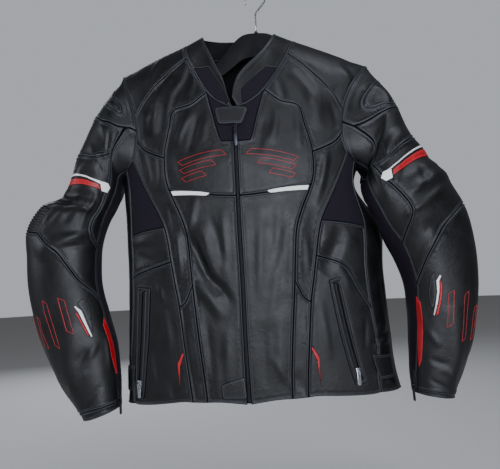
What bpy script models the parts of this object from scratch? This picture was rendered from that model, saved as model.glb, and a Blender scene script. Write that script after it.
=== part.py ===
"""A motorcycle jacket, zipped up and hanging on a broad hanger from a wire hook.

Every piece that is cut and sewn is a wall of its own, built on one smooth form. The body form is a
tube through BODY_SECTIONS that rounds over the shoulders at RIDGE, and each sleeve form is a tube
through its own sections, which starts at the armhole. A seam is a short table on the form, shared by
the pieces on both of its sides.

Tables and sizes are in millimetres, and MM turns them into Blender's metres. The origin is where the
hook bears on what it hangs from. X runs to the viewer's right, Y away from the viewer and Z up, so a
height is negative. The wearer's right is on the viewer's left: _r is -X and _l is +X.
"""

import math

import bmesh
import bpy
from mathutils import Matrix, Vector
from mathutils.geometry import delaunay_2d_cdt

MM = 0.001
RIGHT = -1
LEFT = 1
SUFFIX = {RIGHT: "_r", LEFT: "_l"}

# Cloth.
WALL = 1.6            # leather and textile wall
SEAM_GAP = 0.3        # between neighbours along a seam
RESTING = 0.35        # between a piece and the panel that it lies on
SEAM_STEP = 19.0      # longest step along a seam
BODY_GRID = 34.0      # spacing of the points inside a body panel
BACK_GRID = 42.0
SHOULDER_GRID = 22.0
SLEEVE_GRID = 27.0
SPLIT_DIRECTION = Vector((0.31, 0.53, -0.79))   # settles which way an edge's wall is split
FULLY_SHARED = 0.4    # cosine between two walls above which both end in the direction midway
NEAR_EDGE = 2.0       # where a normal is taken instead of on an edge itself
SHARPEST_TURN = 0.35  # cosine of half the sharpest turn that an inset outline follows

# Body form. Round is the angle in degrees from the zip (0) past the side (90) to the back (180).
# Lean is how far the front centre lies to the viewer's left, and the back centre to the right.
# Press is how far the wearer's left sleeve presses the side in.
#                height  centre  half_r  half_l  front  back  lean  press
BODY_SECTIONS = ((-95, -31, 240, 240, 60, 60, 10, 0),
                 (-165, -25, 240, 240, 64, 60, 16, 0),
                 (-250, -23, 240, 240, 80, 68, 24, 12),
                 (-345, -22, 239, 241, 90, 78, 26, 34),
                 (-400, -22, 236, 241, 90, 78, 26, 46),
                 (-470, -22, 234, 242, 90, 78, 26, 2),
                 (-560, -17.5, 237, 237, 86, 72, 29, 0),
                 (-680, -16, 242, 242, 80, 64, 30, 0),
                 (-740, -15, 245, 246, 77, 62, 30, 0),
                 (-795, -14, 249, 256, 74, 60, 30, 0))
BODY_FLATNESS = 0.75  # power of the cosine in the body's section: 1 is an ellipse, 0 a box
PRESS_POWER = {"front": 10, "back": 3}   # how closely the pressed place keeps to the side
# Shoulder ridge: distance out from the body's centre, height.
RIDGE = ((0, -92), (60, -98), (107, -111), (151, -128), (184, -142), (208, -153), (228, -160), (240, -164))
SHOULDER_RADIUS = 60.0
ON_RIDGE = 0.0        # as a height in a seam's row: on the shoulder ridge itself
ROUND_MM = 4.1        # width of one degree round the body

# Largest folds of the body: the fold's two ends as round and height, half its width, and how far it stands
# out, or in where that is negative. A minus round is on the wearer's right.
#             round height  round height  half  out
BODY_FOLDS = ((-26, -468, -10, -592, 28, -7),
              (-18, -462, -12, -560, 24, 4),
              (-31, -185, -33, -300, 30, 5),
              (-41, -205, -41, -300, 24, -4),
              (35, -195, 39, -300, 28, 4),
              (47, -215, 50, -300, 22, -4),
              (-24, -600, -20, -740, 30, 4),
              (27, -430, 21, -600, 30, 4),
              (48, -480, 36, -560, 28, -5),
              (150, -330, 158, -520, 45, 6),
              (-148, -340, -160, -540, 45, 6),
              (128, -420, 118, -610, 40, -5),
              (-130, -400, -116, -600, 40, -5),
              (172, -560, 165, -740, 45, 5))
FOLD_TAPER = 0.7      # power that rounds a fold's ends

# Seams on the body, as (round, height) rows. A seam that ends at the armhole names that place's psi.
NECKLINE = ((0.8, -252), (4, -249), (9, -236), (12.5, -221), (16, -200), (19.5, -176), (23, -150),
            (25, -125), (25.8, ON_RIDGE), (158, -118), (168, -121), (180, -121))
PRINCESS = ((12.5, -221), (19.5, -243), (28.2, -254), (30.5, -285), (33, -320), (33.8, -341),
            (33.8, -375), (32.3, -400), (27, -446), (24.3, -480), (23.2, -530), (22.5, -571),
            (21.8, -600), (20.2, -662), (18, -750), (17.5, -779))
ZIP_EDGE = ((0.8, -252), (0.75, -317), (0.75, -416), (0.9, -600), (1.3, -700), (2.2, -785))
NECK_INSET_SEAM = ((12.5, -221), (9.5, -268), (6.6, -312), (4.5, -316), (0.75, -317))
CHEST_SEAM = ((32.3, -400), (14, -411), (0.75, -416))
SIDE_PIPING = ((45.7, -405), (36.4, -465), (33.2, -528), (31.5, -567), (29.4, -610), (27, -686),
               (24, -778))
SHOULDER_SEAM = ((23, -150), (34, -183), (42.4, -211))
YOKE_SEAM = ((33.8, -341), (46, -323))
DART_SEAM = ((22.5, -571), (26, -600), (29.4, -610))
STRETCH_HEM = ((36.4, -465), (52, -471), (63.3, -476))
POCKET_SEAM = {RIGHT: ((33.2, -528), (48.5, -541), (57, -547), (63.9, -553)),
               LEFT: ((33.2, -528), (48.5, -548), (57, -590), (65.3, -626))}
SIDE_SEAM = ((62.5, -391), (63.3, -476), (63.9, -553), (64.5, -590), (65.3, -626), (66.5, -655),
             (68, -700), (65, -740), (63.5, -780))
BACK_SHOULDER_SEAM = ((158, -118), (146, -183), (137.6, -211))
BACK_YOKE_SEAM = ((150, -304), (180, -306))
FRONT_HEM = ((2.2, -785), (9, -780.5), (17.5, -779), (24, -778), (30, -777), (46, -781), (63.5, -780))
BACK_HEM = ((63.5, -780), (90, -782), (125, -784), (180, -786))

# Armhole: psi goes from the shoulder ridge (0) by the front (90) to the underarm (180) and back.
#                psi round height
ARMHOLE = ((0, 80, ON_RIDGE), (25, 72, -178), (45, 61.5, -212), (65, 55, -250), (88, 52.2, -300),
           (110, 54.5, -332), (135, 62, -350), (158, 75, -359), (180, 90, -361))
PSI_STEP = 10
PSI_SHOULDER = 70     # where the shoulder seam, yoke seam, side piping and side seam meet the armhole
PSI_YOKE = 90
PSI_PIPING = 120
PSI_SIDE = 140
PSI_BACK_YOKE = 270
PSI_BACK_SHOULDER = 290

# Sleeve sections. Along is the way down the sleeve, outer and inner its two edges seen from the front.
#           along  outer x, y, z     inner x, y, z     front back half depth
SLEEVE_SECTIONS = {
    RIGHT: ((42, -275, 0, -195, -268, -4, -376, 66, 60),
            (95, -310, 0, -238, -272, -4, -394, 66, 62),
            (165, -349, -2, -318, -280, -4, -411, 64, 62),
            (215, -373, -4, -387, -289, -6, -428, 64, 60),
            (262, -421, -6, -412, -299, -8, -449, 62, 58),
            (307, -449, -8, -457, -310, -8, -483, 62, 56),
            (352, -449, -10, -512, -314, -10, -514, 60, 55),
            (403, -447, -12, -567, -314, -12, -560, 57, 52),
            (463, -436, -14, -627, -300, -14, -617, 54, 50),
            (522, -418, -16, -683, -286, -16, -673, 50, 46),
            (581, -391, -19, -739, -281, -19, -731, 45, 42),
            (645, -347, -22, -809, -281, -22, -787, 40, 38)),
    LEFT: ((42, 234, -2, -204, 190, -14, -384, 60, 56),
           (95, 256, -6, -244, 182, -38, -404, 58, 44),
           (165, 279, -10, -309, 186, -60, -434, 56, 34),
           (215, 317, -12, -361, 198, -64, -462, 58, 34),
           (262, 348, -10, -411, 208, -58, -484, 62, 42),
           (307, 375, -8, -459, 222, -45, -510, 62, 54),
           (352, 387, -10, -521, 238, -36, -540, 60, 56),
           (403, 388, -14, -584, 253, -28, -582, 58, 54),
           (463, 382, -16, -640, 257, -24, -634, 55, 50),
           (522, 370, -18, -700, 256, -22, -698, 50, 46),
           (581, 347, -20, -754, 255, -20, -748, 45, 42),
           (636, 329, -22, -797, 257, -22, -784, 40, 38))}
SLEEVE_FLATNESS = 0.88
PSI_MM = 1.2          # width of one degree round the sleeve
CUFF = {RIGHT: 645.0, LEFT: 636.0}

# Largest folds of the sleeves, with their ends as psi and along.
#              psi along  psi along  half  out
SLEEVE_FOLDS = {
    RIGHT: ((120, 195, 15, 236, 18, -6),
            (115, 232, 30, 268, 16, 5),
            (100, 130, 40, 205, 22, 5),
            (128, 300, 60, 345, 22, 5),
            (-40, 200, -130, 232, 22, -5),
            (95, 470, 60, 600, 26, 4)),
    LEFT: ((112, 180, 5, 214, 18, -6),
           (110, 222, 8, 246, 16, 5),
           (105, 110, 45, 170, 22, 4),
           (112, 300, 50, 330, 20, -5),
           (-40, 190, -130, 226, 22, -5),
           (90, 450, 60, 600, 26, 4))}

# Seams on the sleeve, as (psi, along) rows. The sleeves hang turned by different amounts.
CAP_SEAM = {
    RIGHT: ((82, 16), (84, 40), (66, 75), (30, 100), (0, 108), (-30, 104), (-60, 86), (-80, 48), (-86, 13)),
    LEFT: ((87.5, 12), (93, 34), (80, 74), (62, 100), (30, 112), (0, 112), (-30, 104), (-60, 86), (-80, 48),
           (-86, 13))}
SLEEVE_FRONT_SEAM = {
    RIGHT: ((80, 0), (82, 16), (103, 38), (115, 66), (130, 120), (134, 184), (136, 235), (138, 286),
            (164, 323)),
    LEFT: ((80, 0), (87.5, 12), (110, 40), (129, 80), (127, 130), (124, 169), (118, 215), (117, 258),
           (133, 290), (151.5, 319))}
SLEEVE_BACK_SEAM = ((-80, 0), (-86, 13))
STRETCH_FRONT = {
    RIGHT: ((150, 0), (154, 100), (158, 200), (164, 323), (162, 435), (160, 520)),
    LEFT: ((150, 0), (157, 100), (162, 215), (160, 270), (151.5, 319), (149, 409), (153, 520))}
STRETCH_BACK = {
    RIGHT: ((210, 0), (212, 100), (215, 321), (212, 500)),
    LEFT: ((240, 0), (238, 60), (226, 160), (215, 321), (212, 500))}
STRETCH_CUFF = (160, 206)
ELBOW_SEAM = {
    RIGHT: ((162, 435), (142, 414), (124, 396), (103, 361), (87, 332), (64, 308)),
    LEFT: ((149, 409), (129, 374), (113, 346), (86, 311), (57, 295), (28, 293))}
ELBOW_BACK_SEAM = {
    RIGHT: ((-70, 308), (-110, 314), (-145, 321)),
    LEFT: ((-100, 293), (-125, 305), (-145, 321))}
RIBS = {RIGHT: {"psi": (64, -70), "along": (260, 308)}, LEFT: {"psi": (28, -100), "along": (247, 293)}}
RIB_COUNT = 9
RIB_COLUMNS = 9
RIB_HEIGHT = 2.4

# Collar: for each row of the neckline, where the top edge runs (out from its middle, height, y).
COLLAR_TOP = ((4.5, -236, -79), (6.5, -216, -75), (14, -190, -68), (26, -170, -62), (39, -152, -56),
              (51, -133, -48), (61, -114, -38), (67, -98, -22), (71, -90, 6), (62, -85, 30), (38, -84, 43),
              (0, -84, 46))
COLLAR_MIDDLE = ((-84, -34), (-100, -36), (-140, -42), (-180, -53), (-236, -56))   # height, x
COLLAR_RISE = 40.0
COLLAR_WALL = 2.0
COLLAR_CLEARANCE = 0.3  # above the neckline's edge
COLLAR_ENDS = 0.4       # short of the neckline's front ends
COLLAR_STEP = 20.0
COLLAR_INSET = {"front": 14.0, "back": 118.0, "low": 2.0, "high": 25.0}
INSET_STEP = 9.0
INSET_LIFT = (0.7, 1.5)

# Flat pieces that lie on the body, as (round, height) rows. _r and _l are mirrored.
CHEST_STRIP = ((31.6, -401), (11.5, -409.5), (14.2, -414.5), (30.4, -410.5))
CHEVRON = ((27.6, -692), (28.2, -687), (31.3, -709), (30.3, -761), (29.8, -714))
SIDE_STRAP = ((61, -710), (83.2, -713), (82.3, -756), (64.5, -757))
COLLAR_TAB = ((-8.8, -256), (-7.6, -253.5), (4.6, -255), (5.6, -259), (3.3, -284), (2.4, -287),
              (-6.4, -286), (-7.4, -283))
HEM_TAB = ((-11.2, -748), (-1.2, -736), (-0.7, -774), (-10.9, -773))
POCKET_WELT = {RIGHT: ((57.8, -570), (46.8, -573), (48.5, -665), (52.9, -770), (61.4, -764), (59.4, -665)),
               LEFT: ((38.7, -573), (45.4, -568), (50.2, -665), (54.8, -759), (47.4, -762), (42.2, -665))}
POCKET_SLIT = {RIGHT: ((52.2, -580), (54, -665), (57.2, -758)),
               LEFT: ((42.2, -580), (46, -665), (50.9, -752))}
SLIT_HALF = 6.0
WELT_STEP = 16.0
# How far the pieces that lie on the panels stand out.
PRINT_TOP = 1.1       # white strips and red chevrons
STRAP_TOP = 2.4       # side straps and pocket welts
HEM_TAB_TOP = 2.2
COLLAR_TAB_LIFT = (1.5, 3.6)   # the tab crosses the zip

# Zips: half widths and lifts above the form.
TAPE_HALF = {"front": 12.0, "pocket": SLIT_HALF - 0.5, "cuff": 5.0}
TAPE_THICK = {"front": 0.9, "pocket": 0.6, "cuff": 0.6}
FRONT_TAPE_LOW = -3.0  # the front zip's tape lies behind the panels' edges
FRONT_ZIP_SHORT = (2.0, 3.0)   # how far the front zip stays inside the neckline and the hem
SLIT_MARGIN = 0.1      # share of a step that a pocket's zip stays inside its slit
ZIP_STEP = 26.0
CHAIN_HALF = 2.6
CHAIN_TOP = {"front": 1.0, "pocket": 1.55, "cuff": 1.55}
CHAIN_CROWN = 0.15
SLIDER_HIGH = 2.2
SLIDER_HALF = 4.6
SLIDER_LONG = 13.0
SLIDER_SLOPE = 1.0
FRONT_SLIDER = -292.0  # height of the front zip's slider
SLIDER_FROM_END = {"pocket": 12.0, "cuff": 10.0}
CUFF_ZIP = {"psi": 159.0, "start": 575.0, "short": 3.0}
PULL_LONG = {"front": 36.0, "pocket": 24.0, "cuff": 22.0}
PULL_HALF = 3.6
PULL_THICK = 1.4
PULL_CORNER = 1.5
AXLE_RADIUS = 0.7
BAIL_CLEARANCE = 0.5
BAIL_WIDE = 1.8
BAIL_LEG = 1.4
BAIL_THICK = 1.0
SUNK = 0.4            # how far the bail's legs reach into the slider

# Hanger: distance from the hook, top and bottom heights and half thickness.
HANGER_SECTIONS = ((0, -86, -134, 6), (28, -88, -138, 6), (54, -113, -160, 6), (80, -145, -178, 7),
                   (100, -154, -186, 8), (150, -156, -188, 9))
HANGER_TIP = {RIGHT: 212.0, LEFT: 187.0}
# From the last section to the tip: share of the way out, share of the rise to the shoulder's inside,
# bottom height, half thickness.
HANGER_ENDS = ((0.35, 0.64, -186, 10), (0.55, 1, -184, 10.7), (0.7, 1, -181, 11.1),
               (0.85, 1, -178, 11.6), (1, 1, -174, 12))
HANGER_LEAST = 12.0   # least height of an end
HANGER_CHAMFER = 2.0
HANGER_EDGE = 1.2     # how far the crown's edges are rounded off
SEAT_GAP = 3.3        # between the hanger's crown and the shoulder's inside

# Hook: a wire that rises from the hanger, cranks to the viewer's right and turns over the top.
HOOK_WIRE = 1.8       # radius of the wire
HOOK_STEM = ((0, -85.6), (0, -49), (1.2, -45))   # across, height
HOOK_BEND_RADIUS = 18.0   # inside the bend, which bears at the origin
HOOK_STEPS = 14
HOOK_SIDES = 12
HOOK_START = -15.0    # degrees of the bend, from the viewer's right over the top
HOOK_END = 205.0

COLOURS = {
    "leather": ((0.020, 0.021, 0.024), 0.42, 0.0),
    "textile": ((0.016, 0.013, 0.024), 0.85, 0.0),
    "white": ((0.87, 0.87, 0.85), 0.45, 0.0),
    "red": ((0.56, 0.02, 0.03), 0.45, 0.0),
    "zip": ((0.012, 0.012, 0.013), 0.5, 0.0),
    "pull": ((0.12, 0.12, 0.125), 0.4, 1.0),
    "hanger": ((0.017, 0.013, 0.022), 0.45, 0.0),
    "steel": ((0.55, 0.55, 0.56), 0.28, 1.0),
}


def blend(rows, x, columns):
    """Smooth values of some columns of a table at x, which runs along its first column."""
    if rows[0][0] > rows[-1][0]:
        rows = rows[::-1]
    x = min(max(x, rows[0][0]), rows[-1][0])
    i = 0
    while i < len(rows) - 2 and x > rows[i + 1][0]:
        i += 1
    span = rows[i + 1][0] - rows[i][0]
    f = (x - rows[i][0]) / span
    values = []
    for c in columns:
        def slope(j):
            low = max(j - 1, 0)
            high = min(j + 1, len(rows) - 1)
            return (rows[high][c] - rows[low][c]) / (rows[high][0] - rows[low][0])
        a = rows[i][c]
        b = rows[i + 1][c]
        values.append((2 * f ** 3 - 3 * f ** 2 + 1) * a + (f ** 3 - 2 * f ** 2 + f) * span * slope(i)
                      + (3 * f ** 2 - 2 * f ** 3) * b + (f ** 3 - f ** 2) * span * slope(i + 1))
    return values


def curve(points, step):
    """Points on a smooth curve through the given ones, a list for each stretch between two of them."""
    stretches = []
    last = len(points) - 1
    for i in range(last):
        p0 = points[max(i - 1, 0)]
        p1 = points[i]
        p2 = points[i + 1]
        p3 = points[min(i + 2, last)]
        count = max(1, math.ceil((p2 - p1).length / step))
        stretch = []
        for k in range(count + 1):
            f = k / count
            stretch.append(0.5 * (2 * p1 + (p2 - p0) * f + (2 * p0 - 5 * p1 + 4 * p2 - p3) * f * f
                                  + (3 * p1 - p0 - 3 * p2 + p3) * f ** 3))
        stretches.append(stretch)
    return stretches


def fold_lift(folds, u, v, width):
    """How far out the folds stand at a place, whose first coordinate is in degrees of a known width."""
    here = Vector((u * width, v))
    lift = 0.0
    for start_u, start_v, end_u, end_v, half, out in folds:
        start = Vector((start_u * width, start_v))
        line = Vector((end_u * width, end_v)) - start
        f = (here - start).dot(line) / line.length_squared
        if 0 < f < 1:
            aside = (here - start - line * f).length / half
            if aside < 1:
                lift += out * math.cos(math.pi / 2 * aside) ** 2 * math.sin(math.pi * f) ** FOLD_TAPER
    return lift


# The body form.

def ridge_height(round_deg):
    """Height of the shoulder ridge at an angle round the body."""
    return blend(RIDGE, 240 * abs(math.sin(math.radians(round_deg))), (1,))[0]


def down_from_height(round_deg, height):
    """Way down from the shoulder ridge over the rounding, for a height."""
    if height == ON_RIDGE:
        return 0.0
    drop = max(ridge_height(round_deg) - height, 0.0)
    if drop < SHOULDER_RADIUS:
        return SHOULDER_RADIUS * math.acos(1 - drop / SHOULDER_RADIUS)
    return SHOULDER_RADIUS * (math.pi / 2 - 1) + drop


def body_point(round_deg, down):
    """Point on the body form, by the angle round it and the way down from the ridge."""
    if down < SHOULDER_RADIUS * math.pi / 2:
        drop = SHOULDER_RADIUS * (1 - math.cos(down / SHOULDER_RADIUS))
        fullness = math.sin(down / SHOULDER_RADIUS)
    else:
        drop = down - SHOULDER_RADIUS * (math.pi / 2 - 1)
        fullness = 1.0
    height = ridge_height(round_deg) - drop
    centre, half_r, half_l, front, back, lean, press = blend(BODY_SECTIONS, height, range(1, 8))
    angle = math.radians(round_deg)
    across = half_r * math.sin(angle)
    if across > 0:
        power = PRESS_POWER["front" if math.cos(angle) > 0 else "back"]
        across = half_l * math.sin(angle) - press * math.sin(angle) ** power
    depth = math.copysign(abs(math.cos(angle)) ** BODY_FLATNESS, math.cos(angle)) * fullness
    turned = (round_deg + 180) % 360 - 180
    fold = fold_lift(BODY_FOLDS, turned, height, ROUND_MM) * math.copysign(min(abs(depth) * 1.6, 1), depth)
    return Vector((centre + across - lean * depth, -(front if depth > 0 else back) * depth - fold, height))


class Form:
    """A surface that turns chart millimetres into a place, with its outward normal."""

    def __init__(self, point, outward):
        self.point = point
        self.outward = outward

    def normal(self, u, v, reach=1.5):
        along_u = self.point(u + reach, v) - self.point(u - reach, v)
        along_v = self.point(u, v + reach) - self.point(u, v - reach)
        return (along_v.cross(along_u) * self.outward).normalized()

    def place(self, u, v, lift, normal=None):
        return self.point(u, v) + (normal or self.normal(u, v)) * lift


def over_point(u, v):
    """Chart that crosses the shoulder ridge: v is positive at the front and negative at the back."""
    theta = u / ROUND_MM
    if v >= 0:
        return body_point(theta, v)
    return body_point(math.copysign(180, theta) - theta, -v)


def round_point(u, v):
    """Chart that goes round the side: u runs on past the side seam to the back."""
    return body_point(u / ROUND_MM, max(v, 0.0))


OVER = Form(over_point, 1)
AROUND = Form(round_point, 1)


def to_over(round_deg, down):
    """Chart place in OVER of a place round the body."""
    if abs(round_deg) <= 90:
        return Vector((round_deg * ROUND_MM, down))
    return Vector(((math.copysign(180, round_deg) - round_deg) * ROUND_MM, -down))


def to_around(round_deg, down):
    """Chart place in AROUND of a place round the body."""
    return Vector((round_deg * ROUND_MM, down))


def over_to_around(place):
    """Chart place in AROUND of one in OVER."""
    if place.y >= 0:
        return place.copy()
    return Vector((math.copysign(180 * ROUND_MM, place.x) - place.x, -place.y))


# The armhole, shared by the body and the sleeve.

ARMHOLE_ROWS = tuple((psi, round_deg, down_from_height(round_deg, height))
                     for psi, round_deg, height in ARMHOLE)
ARMHOLE_LOOP = ARMHOLE_ROWS + tuple((360 - psi, 180 - round_deg, down)
                                    for psi, round_deg, down in ARMHOLE_ROWS[-2::-1])


def armhole_place(side, psi):
    """Angle round the body and way down from the ridge at a place on the armhole."""
    round_deg, down = blend(ARMHOLE_LOOP, psi % 360 if psi != 360 else 360, (1, 2))
    return side * round_deg, max(down, 0.0)


def section_point(section, psi):
    """Point on one section of the sleeve."""
    outer = Vector(section[1:4])
    inner = Vector(section[4:7])
    across = (outer - inner) / 2
    width = across.length
    across.normalize()
    back = (Vector((0, 1, 0)) - across * across.y).normalized()
    cosine = math.cos(math.radians(psi))
    sine = math.sin(math.radians(psi))
    depth = section[7] if sine > 0 else section[8]
    return ((outer + inner) / 2 + across * width * math.copysign(abs(cosine) ** SLEEVE_FLATNESS, cosine)
            - back * depth * math.copysign(abs(sine) ** SLEEVE_FLATNESS, sine))


def sleeve_form(side):
    """Form of one sleeve, with psi and the way down the sleeve as its chart."""
    def point(u, v):
        psi = u / PSI_MM
        start = body_point(*armhole_place(side, psi))
        rows = [(0.0, *start)] + [(section[0], *section_point(section, psi))
                                  for section in SLEEVE_SECTIONS[side]]
        place = Vector(blend(rows, abs(v), (1, 2, 3)))
        if v < 0:
            return start * 2 - place
        fold = fold_lift(SLEEVE_FOLDS[side], (psi + 180) % 360 - 180, v, PSI_MM)
        if fold:
            middle = blend(SLEEVE_SECTIONS[side], max(v, SLEEVE_SECTIONS[side][0][0]), range(1, 7))
            centre = (Vector(middle[:3]) + Vector(middle[3:])) / 2
            place += (place - centre).normalized() * fold
        return place
    return Form(point, -side)


SLEEVES = {side: sleeve_form(side) for side in (RIGHT, LEFT)}


def shared_normal(own, other):
    """Normal at a seam where two pieces meet at an angle, so that both walls end side by side."""
    weight = min(max(own.dot(other) / FULLY_SHARED, 0.0), 1.0)
    return (own + other * weight).normalized()


def armhole_normals(side, psi):
    """Normals of the body and of the sleeve at a place on the armhole."""
    round_deg, down = armhole_place(side, psi)
    if abs(round_deg) <= 90:
        chart = to_over(round_deg, down)
        body = OVER.normal(chart.x, chart.y)
    else:
        body = AROUND.normal(round_deg * ROUND_MM, max(down, NEAR_EDGE))
    return body, SLEEVES[side].normal(psi * PSI_MM, NEAR_EDGE)


def armhole_run(side, start, stop, around=False):
    """Armhole points from one psi to another, each with its wall's direction."""
    steps = round(abs(stop - start) / PSI_STEP)
    run = []
    for k in range(steps + 1):
        psi = start + math.copysign(PSI_STEP, stop - start) * k
        round_deg, down = armhole_place(side, psi % 360)
        body, sleeve = armhole_normals(side, psi % 360)
        place = to_around(round_deg, down) if around else to_over(round_deg, down)
        run.append((place, shared_normal(body, sleeve)))
    return run


class Seam:
    """A seam on the body, shared by its two neighbours, as stretches between its rows."""

    def __init__(self, rows, start_psi=None, end_psi=None):
        self.rows = rows
        self.start_psi = start_psi
        self.end_psi = end_psi

    def run(self, side, start=None, stop=None, around=False):
        """Points from one height to another, where None means that end of the seam."""
        places = [to_over(side * r, down_from_height(r, h)) for r, h in self.rows]
        heights = [h for r, h in self.rows]
        if self.start_psi is not None:
            places.insert(0, to_over(*armhole_place(side, self.start_psi)))
            heights.insert(0, None)
        if self.end_psi is not None:
            places.append(to_over(*armhole_place(side, self.end_psi)))
            heights.append(None)
        stretches = curve(places, SEAM_STEP)
        first = 0 if start is None else heights.index(start)
        last = len(places) - 1 if stop is None else heights.index(stop)
        backward = first > last
        points = []
        for stretch in stretches[min(first, last):max(first, last)]:
            points += stretch if not points else stretch[1:]
        if backward:
            points.reverse()
        if around:
            points = [over_to_around(p) for p in points]
        return [(p, None) for p in points]


SEAMS = {
    "neckline": Seam(NECKLINE),
    "princess": Seam(PRINCESS),
    "zip": Seam(ZIP_EDGE),
    "neck_inset": Seam(NECK_INSET_SEAM),
    "chest": Seam(CHEST_SEAM),
    "piping": Seam(SIDE_PIPING, start_psi=PSI_PIPING),
    "shoulder": Seam(SHOULDER_SEAM, end_psi=PSI_SHOULDER),
    "yoke": Seam(YOKE_SEAM, end_psi=PSI_YOKE),
    "dart": Seam(DART_SEAM),
    "stretch_hem": Seam(STRETCH_HEM),
    "pocket_r": Seam(POCKET_SEAM[RIGHT]),
    "pocket_l": Seam(POCKET_SEAM[LEFT]),
    "side": Seam(SIDE_SEAM, start_psi=PSI_SIDE),
    "back_shoulder": Seam(BACK_SHOULDER_SEAM, end_psi=PSI_BACK_SHOULDER),
    "hem": Seam(FRONT_HEM),
}


def reverse(run):
    """The same run, from its other end."""
    return run[::-1]


def join(*runs):
    """One closed outline from runs that meet end to end, with the armhole's directions kept at the joins."""
    outline = []
    for run in runs:
        for place, normal in run:
            if outline and (outline[-1][0] - place).length < 0.5:
                outline[-1] = (place, outline[-1][1] or normal)
            else:
                outline.append((place, normal))
    if (outline[0][0] - outline[-1][0]).length < 0.5:
        place, normal = outline.pop()
        outline[0] = (place, outline[0][1] or normal)
    return outline


# Walls.

def inset(outline, distance):
    """Outline moved inward along its chart normals."""
    places = [place for place, normal in outline]
    area = sum(a.x * b.y - b.x * a.y for a, b in zip(places, places[1:] + places[:1]))
    turn = 1 if area > 0 else -1
    moved = []
    for i, place in enumerate(places):
        before = (place - places[i - 1]).normalized()
        after = (places[(i + 1) % len(places)] - place).normalized()
        normal = Vector((-before.y - after.y, before.x + after.x)) * turn
        if normal.length < 0.2:
            normal = Vector((-before.y, before.x)) * turn
        normal.normalize()
        slant = max(normal.dot(Vector((-before.y, before.x)) * turn), SHARPEST_TURN)
        moved.append(place + normal * distance / slant)
    return moved


def inside(place, loop):
    """Whether a chart place is inside a loop."""
    result = False
    for a, b in zip(loop, loop[1:] + loop[:1]):
        if (a.y > place.y) != (b.y > place.y):
            if place.x < (b.x - a.x) * (place.y - a.y) / (b.y - a.y) + a.x:
                result = not result
    return result


def edge_distance(place, loop):
    """Distance from a chart place to a loop."""
    nearest = math.inf
    for a, b in zip(loop, loop[1:] + loop[:1]):
        line = b - a
        f = min(max((place - a).dot(line) / max(line.length_squared, 1e-9), 0.0), 1.0)
        nearest = min(nearest, (place - a - line * f).length)
    return nearest


def triangulate(loops, grid):
    """Chart points and triangles of a region: the first loop bounds it and the others are holes."""
    points = [place for loop in loops for place in loop]
    edges = []
    start = 0
    for loop in loops:
        edges += [(start + i, start + (i + 1) % len(loop)) for i in range(len(loop))]
        start += len(loop)
    low = Vector((min(p.x for p in loops[0]), min(p.y for p in loops[0])))
    high = Vector((max(p.x for p in loops[0]), max(p.y for p in loops[0])))
    row = 0
    y = low.y + grid / 2
    while y < high.y:
        x = low.x + (grid / 2 if row % 2 else grid)
        while x < high.x:
            place = Vector((x, y))
            if inside(place, loops[0]) and not any(inside(place, hole) for hole in loops[1:]):
                if min(edge_distance(place, loop) for loop in loops) > grid * 0.5:
                    points.append(place)
            x += grid
        y += grid * 0.87
        row += 1
    verts, _, faces, origins, _, _ = delaunay_2d_cdt(points, edges, [], 1, 1e-4)
    where = {k: i for i, origin in enumerate(origins) for k in origin}
    kept = []
    for face in faces:
        centre = sum((verts[i] for i in face), Vector((0, 0))) / len(face)
        if not any(inside(centre, hole) for hole in loops[1:]):
            kept.append(face)
    return verts, kept, where


def add_object(name, bm, kind):
    """Object of one closed body, facing out, with its material."""
    bmesh.ops.recalc_face_normals(bm, faces=bm.faces)
    if bm.calc_volume(signed=True) < 0:
        bmesh.ops.reverse_faces(bm, faces=bm.faces)
    mesh = bpy.data.meshes.new(name)
    bm.to_mesh(mesh)
    bm.free()
    obj = bpy.data.objects.new(name, mesh)
    bpy.context.scene.collection.objects.link(obj)
    colour, roughness, metallic = COLOURS[kind]
    material = bpy.data.materials.new(f"{name} {kind}")
    material.use_nodes = True
    shader = material.node_tree.nodes["Principled BSDF"]
    shader.inputs["Base Color"].default_value = (*colour, 1)
    shader.inputs["Roughness"].default_value = roughness
    shader.inputs["Metallic"].default_value = metallic
    mesh.materials.append(material)
    return obj


def wall(name, form, outline, kind, grid, top=0.0, bottom=-WALL, holes=(), gap=SEAM_GAP):
    """Wall over a region of a form, between two lifts."""
    loops = [inset(outline, gap / 2)] + [list(hole) for hole in holes]
    verts, faces, where = triangulate(loops, grid)
    normals = {where[i]: normal for i, (place, normal) in enumerate(outline) if normal}
    bm = bmesh.new()
    upper = []
    lower = []
    for i, place in enumerate(verts):
        normal = normals.get(i) or form.normal(place.x, place.y)
        base = form.point(place.x, place.y)
        upper.append(bm.verts.new((base + normal * top) * MM))
        lower.append(bm.verts.new((base + normal * bottom) * MM))
    for face in faces:
        bm.faces.new([upper[i] for i in face])
        bm.faces.new([lower[i] for i in reversed(face)])
    start = 0
    for loop in loops:
        count = len(loop)
        for i in range(count):
            a = where[start + i]
            b = where[start + (i + 1) % count]
            edge_wall(bm, upper[a], upper[b], lower[b], lower[a])
        start += count
    add_object(name, bm, kind)


def edge_wall(bm, upper_a, upper_b, lower_b, lower_a):
    """Two triangles of a piece's edge, split the same way as those of the piece beside it."""
    if (upper_b.co - upper_a.co).dot(SPLIT_DIRECTION) > 0:
        bm.faces.new((upper_a, upper_b, lower_b))
        bm.faces.new((upper_a, lower_b, lower_a))
    else:
        bm.faces.new((upper_a, upper_b, lower_a))
        bm.faces.new((upper_b, lower_b, lower_a))


# Body panels.

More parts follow.
